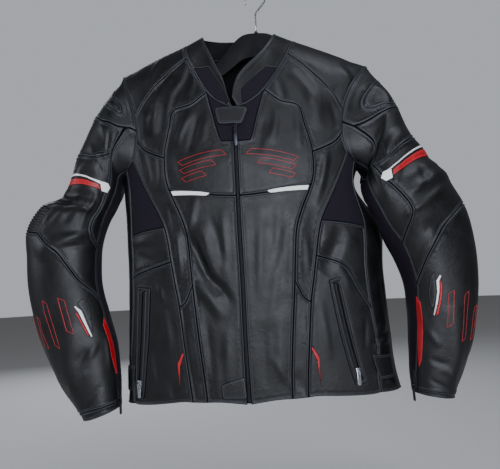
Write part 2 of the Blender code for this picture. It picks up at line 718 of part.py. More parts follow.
def front_panels(side):
    """The cut pieces of one front, from the zip to the side seam."""
    s = SEAMS
    end = SUFFIX[side]
    pocket_end = POCKET_SEAM[side][-1][1]
    pocket = "pocket" + end

    def panel(name, kind, *runs, grid=BODY_GRID):
        wall(name + end, OVER, join(*runs), kind, grid)

    panel("neck_inset", "textile",
          s["neckline"].run(side, -252, -221), s["neck_inset"].run(side), s["zip"].run(side, -317, -252))
    panel("chest", "leather",
          s["princess"].run(side, -221, -400), s["chest"].run(side), s["zip"].run(side, -416, -317),
          reverse(s["neck_inset"].run(side)))
    panel("front", "leather",
          reverse(s["chest"].run(side)), s["princess"].run(side, -400, -779),
          s["hem"].run(side, -779, -785), s["zip"].run(side, -785, -416))
    panel("yoke", "leather",
          s["neckline"].run(side, -221, -150), s["shoulder"].run(side),
          armhole_run(side, PSI_SHOULDER, PSI_YOKE), reverse(s["yoke"].run(side)),
          s["princess"].run(side, -341, -221))
    panel("side_front", "leather",
          s["yoke"].run(side), armhole_run(side, PSI_YOKE, PSI_PIPING), s["piping"].run(side, None, -610),
          reverse(s["dart"].run(side)), s["princess"].run(side, -571, -341))
    panel("dart", "leather",
          s["dart"].run(side), s["piping"].run(side, -610, -778), s["hem"].run(side, -778, -779),
          s["princess"].run(side, -779, -571))
    panel("stretch_side", "textile",
          armhole_run(side, PSI_PIPING, PSI_SIDE), s["side"].run(side, None, -476),
          reverse(s["stretch_hem"].run(side)), reverse(s["piping"].run(side, None, -465)))
    panel("flank", "leather",
          s["stretch_hem"].run(side), s["side"].run(side, -476, pocket_end),
          reverse(s[pocket].run(side)), s["piping"].run(side, -528, -465))
    panel("pocket_panel", "leather",
          s[pocket].run(side), s["side"].run(side, pocket_end, -780), s["hem"].run(side, -780, -778),
          s["piping"].run(side, -778, -528))
    panel("shoulder", "leather",
          s["shoulder"].run(side), armhole_run(side, PSI_SHOULDER, PSI_BACK_SHOULDER - 360),
          reverse(s["back_shoulder"].run(side)), s["neckline"].run(side, -118, -150), grid=SHOULDER_GRID)


def back_run(rows, start=None, end=None):
    """Run across the back, from the wearer's left to the right, in the AROUND chart."""
    places = [to_around(r, down_from_height(r, h)) for r, h in rows]
    places += [to_around(360 - r, down_from_height(r, h)) for r, h in rows[-2::-1]]
    if start is not None:
        places.insert(0, to_around(*armhole_place(LEFT, start)))
    if end is not None:
        round_deg, down = armhole_place(LEFT, end)
        places.append(to_around(360 - round_deg, down))
    points = []
    for stretch in curve(places, SEAM_STEP):
        points += stretch if not points else stretch[1:]
    return [(p, None) for p in points]


def past_back(run):
    """A run of the wearer's right, moved on past the back centre into the wearer's left's angles."""
    return [(Vector((place.x + 360 * ROUND_MM, place.y)), normal) for place, normal in run]


def back_panels():
    """The back and its yoke, which go from side seam to side seam."""
    s = SEAMS
    yoke_seam = back_run(BACK_YOKE_SEAM, PSI_BACK_YOKE, PSI_BACK_YOKE)
    neck = s["neckline"].run(LEFT, -118, None, around=True)
    neck_right = past_back(s["neckline"].run(RIGHT, -118, None, around=True))
    wall("back_yoke", AROUND,
         join(neck, reverse(neck_right), past_back(s["back_shoulder"].run(RIGHT, around=True)),
              past_back(armhole_run(RIGHT, PSI_BACK_SHOULDER, PSI_BACK_YOKE, around=True)),
              reverse(yoke_seam), armhole_run(LEFT, PSI_BACK_YOKE, PSI_BACK_SHOULDER, around=True),
              reverse(s["back_shoulder"].run(LEFT, around=True))),
         "leather", BODY_GRID)
    hem = back_run(BACK_HEM)
    wall("back", AROUND,
         join(yoke_seam, past_back(armhole_run(RIGHT, PSI_BACK_YOKE, PSI_SIDE, around=True)),
              past_back(s["side"].run(RIGHT, None, -780, around=True)), reverse(hem),
              reverse(s["side"].run(LEFT, None, -780, around=True)),
              armhole_run(LEFT, PSI_SIDE, PSI_BACK_YOKE, around=True)),
         "leather", BACK_GRID)


# Sleeves.

def sleeve_run(side, rows, start=None, stop=None):
    """A seam on the sleeve from one row to another, as chart points with the armhole's direction there."""
    places = [Vector((psi * PSI_MM, along)) for psi, along in rows]
    first = 0 if start is None else start
    last = len(places) - 1 if stop is None else stop
    points = []
    for stretch in curve(places, SEAM_STEP)[min(first, last):max(first, last)]:
        points += stretch if not points else stretch[1:]
    if first > last:
        points.reverse()
    run = []
    for p in points:
        normal = None
        if p.y < 0.01:
            body, sleeve = armhole_normals(side, (p.x / PSI_MM) % 360)
            normal = shared_normal(sleeve, body)
        run.append((p, normal))
    return run


def sleeve_head(side, start, stop):
    """The sleeve's side of the armhole from one psi to another."""
    steps = round(abs(stop - start) / PSI_STEP)
    run = []
    for k in range(steps + 1):
        psi = start + math.copysign(PSI_STEP, stop - start) * k
        body, sleeve = armhole_normals(side, psi % 360)
        run.append((Vector((psi * PSI_MM, 0)), shared_normal(sleeve, body)))
    return run


def row_at(rows, along):
    """Which row of a sleeve seam is at a way down the sleeve."""
    return [row[1] for row in rows].index(along)


def sleeve_panels(side):
    """The cut pieces of one sleeve."""
    end = SUFFIX[side]
    form = SLEEVES[side]
    cuff = CUFF[side]
    cap = CAP_SEAM[side]
    front = SLEEVE_FRONT_SEAM[side]
    elbow = ELBOW_SEAM[side]
    elbow_back = ELBOW_BACK_SEAM[side]
    strip_front = STRETCH_FRONT[side] + ((STRETCH_CUFF[0], cuff),)
    strip_back = STRETCH_BACK[side] + ((STRETCH_CUFF[1], cuff),)
    around = tuple((psi - 360, along) for psi, along in strip_back)
    joint = row_at(strip_front, front[-1][1])
    low_joint = row_at(strip_front, elbow[0][1])
    back_joint = row_at(around, elbow_back[-1][1])
    head_back = strip_back[0][0]
    ribs_top, ribs_bottom = RIBS[side]["along"]
    columns = rib_columns(side)
    rib_top = tuple((psi, ribs_top) for psi in columns)
    rib_bottom = tuple((psi, ribs_bottom) for psi in columns)
    rib_front = ((columns[0], ribs_bottom), (columns[0], ribs_top))
    rib_back = ((columns[-1], ribs_top), (columns[-1], ribs_bottom))
    cuff_round = ((STRETCH_CUFF[0], cuff), (100, cuff), (0, cuff), (-80, cuff), (STRETCH_CUFF[1] - 360, cuff))

    def run(rows, start=None, stop=None):
        return sleeve_run(side, rows, start, stop)

    def panel(name, kind, *runs):
        wall(name + end, form, join(*runs), kind, SLEEVE_GRID)

    panel("sleeve_cap", "leather",
          sleeve_head(side, -80, 80), run(front, 0, 1), run(cap), reverse(run(SLEEVE_BACK_SEAM)))
    panel("sleeve_upper", "leather",
          reverse(run(cap)), run(front, 1), run(strip_front, joint, low_joint), run(elbow),
          run(rib_front), run(rib_top), run(rib_back), run(elbow_back), run(around, back_joint, 0),
          sleeve_head(side, head_back - 360, -80), run(SLEEVE_BACK_SEAM))
    panel("sleeve_under", "leather",
          sleeve_head(side, 80, 150), run(strip_front, 0, joint), reverse(run(front)))
    panel("sleeve_stretch", "textile",
          sleeve_head(side, 150, head_back), run(strip_back),
          run(((STRETCH_CUFF[1], cuff), (STRETCH_CUFF[0], cuff))), reverse(run(strip_front)))
    panel("forearm", "leather",
          run(strip_front, low_joint), run(cuff_round), reverse(run(around, back_joint)),
          reverse(run(elbow_back)), reverse(run(rib_bottom)), reverse(run(elbow)))
    elbow_ribs(side)


def rib_columns(side):
    """Psi of the columns of points across the ribbed panel, from its front to its back edge."""
    front, back = RIBS[side]["psi"]
    return [front + (back - front) * i / RIB_COLUMNS for i in range(RIB_COLUMNS + 1)]


def elbow_ribs(side):
    """Ribbed panel over the elbow: raised ribs on a plain inside."""
    form = SLEEVES[side]
    psis = rib_columns(side)
    top, bottom = RIBS[side]["along"]
    half_gap = SEAM_GAP / 2
    columns = RIB_COLUMNS
    rows = RIB_COUNT * 2
    bm = bmesh.new()
    upper = []
    lower = []
    for j in range(rows + 1):
        along = top + half_gap + (bottom - top - SEAM_GAP) * j / rows
        for i, psi in enumerate(psis):
            u = psi * PSI_MM + (-half_gap if i == 0 else half_gap if i == columns else 0)
            lift = RIB_HEIGHT if j % 2 and 0 < i < columns else 0.0
            normal = form.normal(u, along)
            base = form.point(u, along)
            upper.append(bm.verts.new((base + normal * lift) * MM))
            lower.append(bm.verts.new((base - normal * WALL) * MM))
    width = columns + 1
    for j in range(rows):
        for i in range(columns):
            a = j * width + i
            quad = (a, a + 1, a + 1 + width, a + width)
            bm.faces.new([upper[k] for k in quad])
            bm.faces.new([lower[k] for k in reversed(quad)])
    rim = ([j * width for j in range(rows + 1)]
           + [rows * width + i for i in range(1, columns + 1)]
           + [j * width + columns for j in range(rows - 1, -1, -1)]
           + [i for i in range(columns - 1, 0, -1)])
    for a, b in zip(rim, rim[1:] + rim[:1]):
        edge_wall(bm, upper[a], upper[b], lower[b], lower[a])
    bmesh.ops.triangulate(bm, faces=[f for f in bm.faces if len(f.verts) > 3])
    add_object("elbow_ribs" + SUFFIX[side], bm, "leather")


# Collar.

def collar_rows():
    """For each neckline row: its length from the back centre, its place, and the top edge's place."""
    rows = []
    length = 0.0
    previous = None
    for (round_deg, height), top in zip(NECKLINE[::-1], COLLAR_TOP[::-1]):
        place = to_over(round_deg, down_from_height(round_deg, height))
        base = over_point(place.x, place.y)
        if previous is not None:
            length += (base - previous).length
        previous = base
        rows.append((length, place.x, place.y, *top))
    return rows


COLLAR_ROWS = collar_rows()
COLLAR_HALF = COLLAR_ROWS[-1][0]


def collar_point(u, v):
    """Collar form: u runs from the back centre to the wearer's left (+) and right (-), v up the collar."""
    side = 1 if u >= 0 else -1
    x, y, out, height, depth = blend(COLLAR_ROWS, abs(u), (1, 2, 3, 4, 5))
    base = over_point(side * x, y)
    middle = blend(COLLAR_MIDDLE, height, (1,))[0]
    top = Vector((middle + side * out, depth, height))
    return base.lerp(top, v / COLLAR_RISE)


COLLAR = Form(collar_point, 1)


def collar_pieces():
    """The stand collar, from zip to zip, and the textile inset at each of its front ends."""
    ends = COLLAR_HALF - COLLAR_ENDS
    steps = 2 * math.ceil(ends / SEAM_STEP)
    bottom = [Vector((-ends + 2 * ends * k / steps, COLLAR_CLEARANCE)) for k in range(steps + 1)]
    top = [Vector((p.x, COLLAR_RISE)) for p in bottom]
    outline = [(p, None) for p in bottom + top[::-1]]
    wall("collar", COLLAR, outline, "leather", COLLAR_STEP, bottom=-COLLAR_WALL, gap=0)
    for side in (RIGHT, LEFT):
        front = (COLLAR_HALF - COLLAR_INSET["front"]) * side
        back = (COLLAR_HALF - COLLAR_INSET["back"]) * side
        corners = (Vector((front, COLLAR_INSET["low"])), Vector((back, COLLAR_INSET["low"])),
                   Vector((back, COLLAR_INSET["high"])), Vector((front, COLLAR_INSET["high"])))
        wall("collar_inset" + SUFFIX[side], COLLAR, [(p, None) for p in densify(corners, INSET_STEP)],
             "textile", INSET_STEP * 1.3, top=INSET_LIFT[1], bottom=INSET_LIFT[0], gap=0)


def densify(corners, step):
    """Corners joined by straight runs of points no further apart than a step."""
    points = []
    for a, b in zip(corners, corners[1:] + corners[:1]):
        count = max(1, math.ceil((b - a).length / step))
        points += [a.lerp(b, k / count) for k in range(count)]
    return points


# Pieces that lie on the panels.

def chart_rows(side, rows):
    """Rows on the body as chart places."""
    return tuple(to_over(side * r, down_from_height(abs(r), h)) for r, h in rows)


def patch(name, places, kind, top, bottom=RESTING, step=12.0, grid=14.0, holes=()):
    """Flat piece that lies on the body, between two lifts."""
    wall(name, OVER, [(p, None) for p in densify(places, step)], kind, grid, top=top, bottom=bottom,
         holes=holes, gap=0)


def small_pieces():
    """Tabs, straps, strips, chevrons and pocket welts."""
    patch("collar_tab", chart_rows(LEFT, COLLAR_TAB), "leather", COLLAR_TAB_LIFT[1],
          bottom=COLLAR_TAB_LIFT[0])
    patch("hem_tab", chart_rows(LEFT, HEM_TAB), "leather", HEM_TAB_TOP)
    for side in (RIGHT, LEFT):
        end = SUFFIX[side]
        patch("chest_strip" + end, chart_rows(side, CHEST_STRIP), "white", PRINT_TOP)
        patch("chevron" + end, chart_rows(side, CHEVRON), "red", PRINT_TOP)
        patch("side_strap" + end, chart_rows(side, SIDE_STRAP), "leather", STRAP_TOP)
        slit = slit_path(side)
        hole = offset_path(slit, SLIT_HALF) + offset_path(slit, -SLIT_HALF)[::-1]
        patch("pocket_welt" + end, chart_rows(side, POCKET_WELT[side]), "leather", STRAP_TOP,
              step=WELT_STEP, grid=BODY_GRID, holes=(hole,))


def slit_path(side):
    """The pocket's slit as chart places, from its top to its bottom."""
    places = list(chart_rows(side, POCKET_SLIT[side]))
    points = []
    for stretch in curve(places, SEAM_STEP):
        points += stretch if not points else stretch[1:]
    return points


def offset_path(path, distance):
    """A path moved sideways in the chart."""
    moved = []
    for i, place in enumerate(path):
        line = (path[min(i + 1, len(path) - 1)] - path[max(i - 1, 0)]).normalized()
        moved.append(place + Vector((-line.y, line.x)) * distance)
    return moved


# Zips and their pulls.

def loft(name, sections, kind):
    """Closed body through sections that have the same number of points."""
    bm = bmesh.new()
    rings = [[bm.verts.new(p * MM) for p in section] for section in sections]
    count = len(rings[0])
    for first, second in zip(rings, rings[1:]):
        for i in range(count):
            j = (i + 1) % count
            bm.faces.new((first[i], first[j], second[j], second[i]))
    bm.faces.new(rings[0][::-1])
    bm.faces.new(rings[-1])
    bmesh.ops.triangulate(bm, faces=bm.faces[:])
    return add_object(name, bm, kind)


def zip_profile(kind, tape_low, half, top):
    """Section of a zip: its tape, its chain, and the slider on it, as (across, lift)."""
    tape = TAPE_HALF[kind]
    tape_high = tape_low + TAPE_THICK[kind]
    chain_top = CHAIN_TOP[kind]
    step = chain_top + CHAIN_CROWN / 3
    return ((-tape, tape_low), (-tape, tape_high), (-CHAIN_HALF, tape_high), (-CHAIN_HALF, chain_top),
            (-half, step), (-half, top), (half, top), (half, step),
            (CHAIN_HALF, chain_top), (CHAIN_HALF, tape_high), (tape, tape_high), (tape, tape_low))


def box(name, centre, size, frame):
    """Box body in a local frame, with its size along the frame's axes."""
    bm = bmesh.new()
    bmesh.ops.create_cube(bm, size=1.0)
    bmesh.ops.scale(bm, vec=Vector(size) * MM, verts=bm.verts)
    bmesh.ops.translate(bm, vec=Vector(centre) * MM, verts=bm.verts)
    bmesh.ops.transform(bm, matrix=frame, verts=bm.verts)
    bmesh.ops.triangulate(bm, faces=bm.faces[:])
    return add_object(name, bm, "zip")


def unite(target, others):
    """Other bodies joined to the target as one solid, and removed."""
    for other in others:
        modifier = target.modifiers.new("union", "BOOLEAN")
        modifier.operation = "UNION"
        modifier.solver = "EXACT"
        modifier.object = other
        bpy.context.view_layer.update()
        evaluated = target.evaluated_get(bpy.context.evaluated_depsgraph_get())
        mesh = bpy.data.meshes.new_from_object(evaluated)
        target.modifiers.clear()
        old = target.data
        target.data = mesh
        bpy.data.meshes.remove(old)
        bpy.data.objects.remove(other)


def zip_with_pull(kind, end, form, path, tape_low, slider_at):
    """A closed zip along a chart path, its slider with a bail, and the pull that swings on the bail.

    slider_at is the slider's distance from the path's end. The pull hangs straight down.
    """
    name = kind + "_zip" + end
    lengths = [0.0]
    for a, b in zip(path, path[1:]):
        lengths.append(lengths[-1] + (b - a).length)
    middle = lengths[-1] - slider_at
    first = middle - SLIDER_LONG / 2
    last = middle + SLIDER_LONG / 2
    stops = sorted(set(lengths) | {first, first + SLIDER_SLOPE, last - SLIDER_SLOPE, last})
    sections = []
    slider_top = CHAIN_TOP[kind] + SLIDER_HIGH

    def at(distance):
        k = max(i for i in range(len(lengths) - 1) if lengths[i] <= distance + 1e-6)
        line = (path[k + 1] - path[k])
        return path[k] + line.normalized() * (distance - lengths[k]), line.normalized()

    for stop in stops:
        place, line = at(stop)
        across = Vector((-line.y, line.x))
        on_slider = abs(stop - middle) <= (SLIDER_LONG - SLIDER_SLOPE) / 2
        half = SLIDER_HALF if on_slider else CHAIN_HALF
        top = slider_top if on_slider else CHAIN_TOP[kind] + CHAIN_CROWN
        profile = zip_profile(kind, tape_low, half, top)
        normal = form.normal(place.x, place.y)
        sections.append([form.point(*(place + across * a)) + normal * lift for a, lift in profile])
    body = loft(name, sections, "zip")

    place, line = at(middle)
    base = form.point(place.x, place.y)
    out = form.normal(place.x, place.y)
    side = Vector((0, 0, -1)).cross(out).normalized()
    down = out.cross(side).normalized()
    room = AXLE_RADIUS + BAIL_CLEARANCE
    frame = Matrix((side, down, out)).transposed().to_4x4()
    frame.translation = (base + out * (slider_top + room)) * MM
    reach = room + BAIL_LEG
    bridge = box(name + " bridge", (0, 0, room + BAIL_THICK / 2), (BAIL_WIDE, 2 * reach, BAIL_THICK), frame)
    legs = [box(name + " leg", (0, way * (room + BAIL_LEG / 2), (BAIL_THICK / 2 - SUNK) / 2),
                (BAIL_WIDE, BAIL_LEG, 2 * room + BAIL_THICK / 2 + SUNK), frame) for way in (-1, 1)]
    unite(body, legs + [bridge])
    window_end = math.hypot(reach, room + BAIL_THICK) + BAIL_CLEARANCE
    pull(kind + "_pull" + end, frame, PULL_LONG[kind], window_end)


def pull(name, frame, long, window_end):
    """Zip pull: an axle under the bail, two arms beside it, and a plate. Its origin is on the axle."""
    arm_in = BAIL_WIDE / 2 + BAIL_CLEARANCE
    arm_out = PULL_HALF
    half = PULL_THICK / 2
    cut = PULL_CORNER
    outline = ((-arm_out, -AXLE_RADIUS), (arm_out, -AXLE_RADIUS), (arm_out, long - cut),
               (arm_out - cut, long), (-arm_out + cut, long), (-arm_out, long - cut))
    window = ((-arm_in, AXLE_RADIUS), (arm_in, AXLE_RADIUS), (arm_in, window_end), (-arm_in, window_end))
    bm = bmesh.new()
    loops = [[Vector(p) for p in outline], [Vector(p) for p in window]]
    verts, faces, where = triangulate(loops, 2 * long)
    upper = [bm.verts.new(Vector((p.x, p.y, half)) * MM) for p in verts]
    lower = [bm.verts.new(Vector((p.x, p.y, -half)) * MM) for p in verts]
    for face in faces:
        bm.faces.new([upper[i] for i in face])
        bm.faces.new([lower[i] for i in reversed(face)])
    start = 0
    for loop in loops:
        for i in range(len(loop)):
            a = where[start + i]
            b = where[start + (i + 1) % len(loop)]
            bm.faces.new((upper[a], upper[b], lower[b], lower[a]))
        start += len(loop)
    bmesh.ops.triangulate(bm, faces=[f for f in bm.faces if len(f.verts) > 3])
    obj = add_object(name, bm, "pull")
    obj.matrix_world = frame


def zips():
    """The front zip, the pocket zips and the cuff zips, each with its pull."""
    high = NECKLINE[0][1] - FRONT_ZIP_SHORT[0]
    low = FRONT_HEM[0][1] + FRONT_ZIP_SHORT[1]
    count = math.ceil((high - low) / ZIP_STEP)
    heights = [high + (low - high) * k / count for k in range(count + 1)]
    path = [to_over(0, down_from_height(0, h)) for h in heights]
    zip_with_pull("front", "", OVER, path, FRONT_TAPE_LOW, FRONT_SLIDER - low)
    for side in (RIGHT, LEFT):
        end = SUFFIX[side]
        path = slit_path(side)
        path[0] = path[0].lerp(path[1], SLIT_MARGIN)
        path[-1] = path[-1].lerp(path[-2], SLIT_MARGIN)
        zip_with_pull("pocket", end, OVER, path, RESTING, SLIDER_FROM_END["pocket"])
        start = CUFF_ZIP["start"]
        stop = CUFF[side] - CUFF_ZIP["short"]
        count = math.ceil((stop - start) / SEAM_STEP)
        path = [Vector((CUFF_ZIP["psi"] * PSI_MM, start + (stop - start) * k / count))
                for k in range(count + 1)]
        zip_with_pull("cuff", end, SLEEVES[side], path, RESTING, SLIDER_FROM_END["cuff"])


# Hanger and hook.

def hanger():
    """Broad arched hanger, lofted across, with tips that carry the shoulders from inside."""
    last, last_top = HANGER_SECTIONS[-1][:2]
    arms = {}
    for side in (RIGHT, LEFT):
        arms[side] = [(side * out, top, bottom, half) for out, top, bottom, half in HANGER_SECTIONS[1:]]
        for share, rise, bottom, half in HANGER_ENDS:
            x = side * (last + (HANGER_TIP[side] - last) * share)
            top = last_top + (seat_height(x) - last_top) * rise
            arms[side].append((x, top, min(bottom, top - HANGER_LEAST), half))
    sections = []
    for x, top, bottom, half in arms[RIGHT][::-1] + [HANGER_SECTIONS[0]] + arms[LEFT]:
        low = bottom + HANGER_CHAMFER
        in_from_side = half - HANGER_CHAMFER
        ring = []
        for share in (-1, -0.5, 0, 0.5, 1):
            fall = SHOULDER_RADIUS - math.sqrt(SHOULDER_RADIUS ** 2 - (half * share) ** 2)
            ring.append(Vector((x, half * share, top - fall - HANGER_EDGE * share ** 4)))
        ring += [Vector((x, half, low)), Vector((x, in_from_side, bottom)),
                 Vector((x, -in_from_side, bottom)), Vector((x, -half, low))]
        sections.append(ring)
    loft("hanger", sections, "hanger")


def seat_height(x):
    """Height of the hanger's top where it carries the shoulder from inside, at a place across."""
    best = None
    for k in range(-90, 91):
        point = body_point(k, 0.0)
        if best is None or abs(point.x - x) < abs(best[0].x - x):
            best = (point, k)
    chart = to_over(best[1], 0.0)
    normal = OVER.normal(chart.x, 0.0)
    return best[0].z - (WALL + SEAT_GAP) / normal.z


def hook():
    """Wire hook: a stem, a crank to the viewer's right, and a bend over the top."""
    path = [Vector((x, 0, height)) for x, height in HOOK_STEM]
    for k in range(HOOK_STEPS + 1):
        angle = math.radians(HOOK_START + (HOOK_END - HOOK_START) * k / HOOK_STEPS)
        reach = HOOK_BEND_RADIUS + HOOK_WIRE
        path.append(Vector((math.cos(angle) * reach, 0, math.sin(angle) * reach - HOOK_BEND_RADIUS)))
    sections = []
    depth = Vector((0, 1, 0))
    for i, place in enumerate(path):
        line = (path[min(i + 1, len(path) - 1)] - path[max(i - 1, 0)]).normalized()
        across = line.cross(depth).normalized()
        angles = [2 * math.pi * k / HOOK_SIDES for k in range(HOOK_SIDES)]
        sections.append([place + (across * math.cos(a) + depth * math.sin(a)) * HOOK_WIRE for a in angles])
    loft("hook", sections, "steel")


def main():
    for obj in list(bpy.data.objects):
        bpy.data.objects.remove(obj)
    for side in (RIGHT, LEFT):
        front_panels(side)
        sleeve_panels(side)
    back_panels()
    collar_pieces()
    small_pieces()
    zips()
    hanger()
    hook()


if __name__ == "__main__":
    main()
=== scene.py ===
"""Looks of a motorcycle jacket that hangs, zipped up, on a broad hanger.

Every cut piece is a thin shell on the form of its CAD solid. A form turns a flat chart, in millimetres,
into places in space, so a piece is cut in the chart as a maker cuts it from a hide: its outline comes from
the seams that it shares with its neighbours, and creases, puffed seams and stitches follow the chart.
"""

from __future__ import annotations

import logging
import math
from dataclasses import dataclass
from enum import Enum
from typing import ClassVar, Sequence

import bmesh
import bpy
import numpy as np
from mathutils import Matrix, Vector
from mathutils.geometry import delaunay_2d_cdt

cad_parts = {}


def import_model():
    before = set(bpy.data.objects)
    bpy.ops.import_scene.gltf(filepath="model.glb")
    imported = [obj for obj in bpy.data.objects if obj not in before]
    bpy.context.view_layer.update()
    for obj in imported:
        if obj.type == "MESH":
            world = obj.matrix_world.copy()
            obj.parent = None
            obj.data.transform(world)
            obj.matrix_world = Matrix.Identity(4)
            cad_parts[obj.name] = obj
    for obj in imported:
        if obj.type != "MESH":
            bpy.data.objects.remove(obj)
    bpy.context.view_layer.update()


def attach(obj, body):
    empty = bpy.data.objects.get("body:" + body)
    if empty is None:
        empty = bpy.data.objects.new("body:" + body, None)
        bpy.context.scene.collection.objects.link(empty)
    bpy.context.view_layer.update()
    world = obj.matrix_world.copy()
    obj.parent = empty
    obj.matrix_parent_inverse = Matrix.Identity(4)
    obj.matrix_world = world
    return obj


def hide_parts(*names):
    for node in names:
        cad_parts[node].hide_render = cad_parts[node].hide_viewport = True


Array = np.ndarray
BMesh = bmesh.types.BMesh
Socket = bpy.types.NodeSocket
Tree = bpy.types.NodeTree
Rows = Sequence[Sequence[float]]

LOG = logging.getLogger("jacket")
MM = 0.001
JACKET = "jacket"


class Side(Enum):
    """Which of the wearer's sides: the right is the viewer's left, at minus X."""

    RIGHT = -1
    LEFT = 1

    @property
    def tag(self) -> str:
        """Ending of a piece's name."""
        return "_r" if self is Side.RIGHT else "_l"


# Body form. Round is the angle from the zip (0) past the side (90) to the back (180).
#                height  centre  half_r  half_l  front  back  lean  press
BODY_SECTIONS = ((-95, -31, 240, 240, 60, 60, 10, 0),
                 (-165, -25, 240, 240, 64, 60, 16, 0),
                 (-250, -23, 240, 240, 80, 68, 24, 12),
                 (-345, -22, 239, 241, 90, 78, 26, 34),
                 (-400, -22, 236, 241, 90, 78, 26, 46),
                 (-470, -22, 234, 242, 90, 78, 26, 2),
                 (-560, -17.5, 237, 237, 86, 72, 29, 0),
                 (-680, -16, 242, 242, 80, 64, 30, 0),
                 (-740, -15, 245, 246, 77, 62, 30, 0),
                 (-795, -14, 249, 256, 74, 60, 30, 0))
BODY_FLATNESS = 0.75
PRESS_FRONT = 10
PRESS_BACK = 3
# Shoulder ridge: distance out from the centre, height.
RIDGE = ((0, -92), (60, -98), (107, -111), (151, -128), (184, -142), (208, -153), (228, -160), (240, -164))
RIDGE_REACH = 240.0
SHOULDER_RADIUS = 60.0
ON_RIDGE = 0.0
ROUND_MM = 4.1

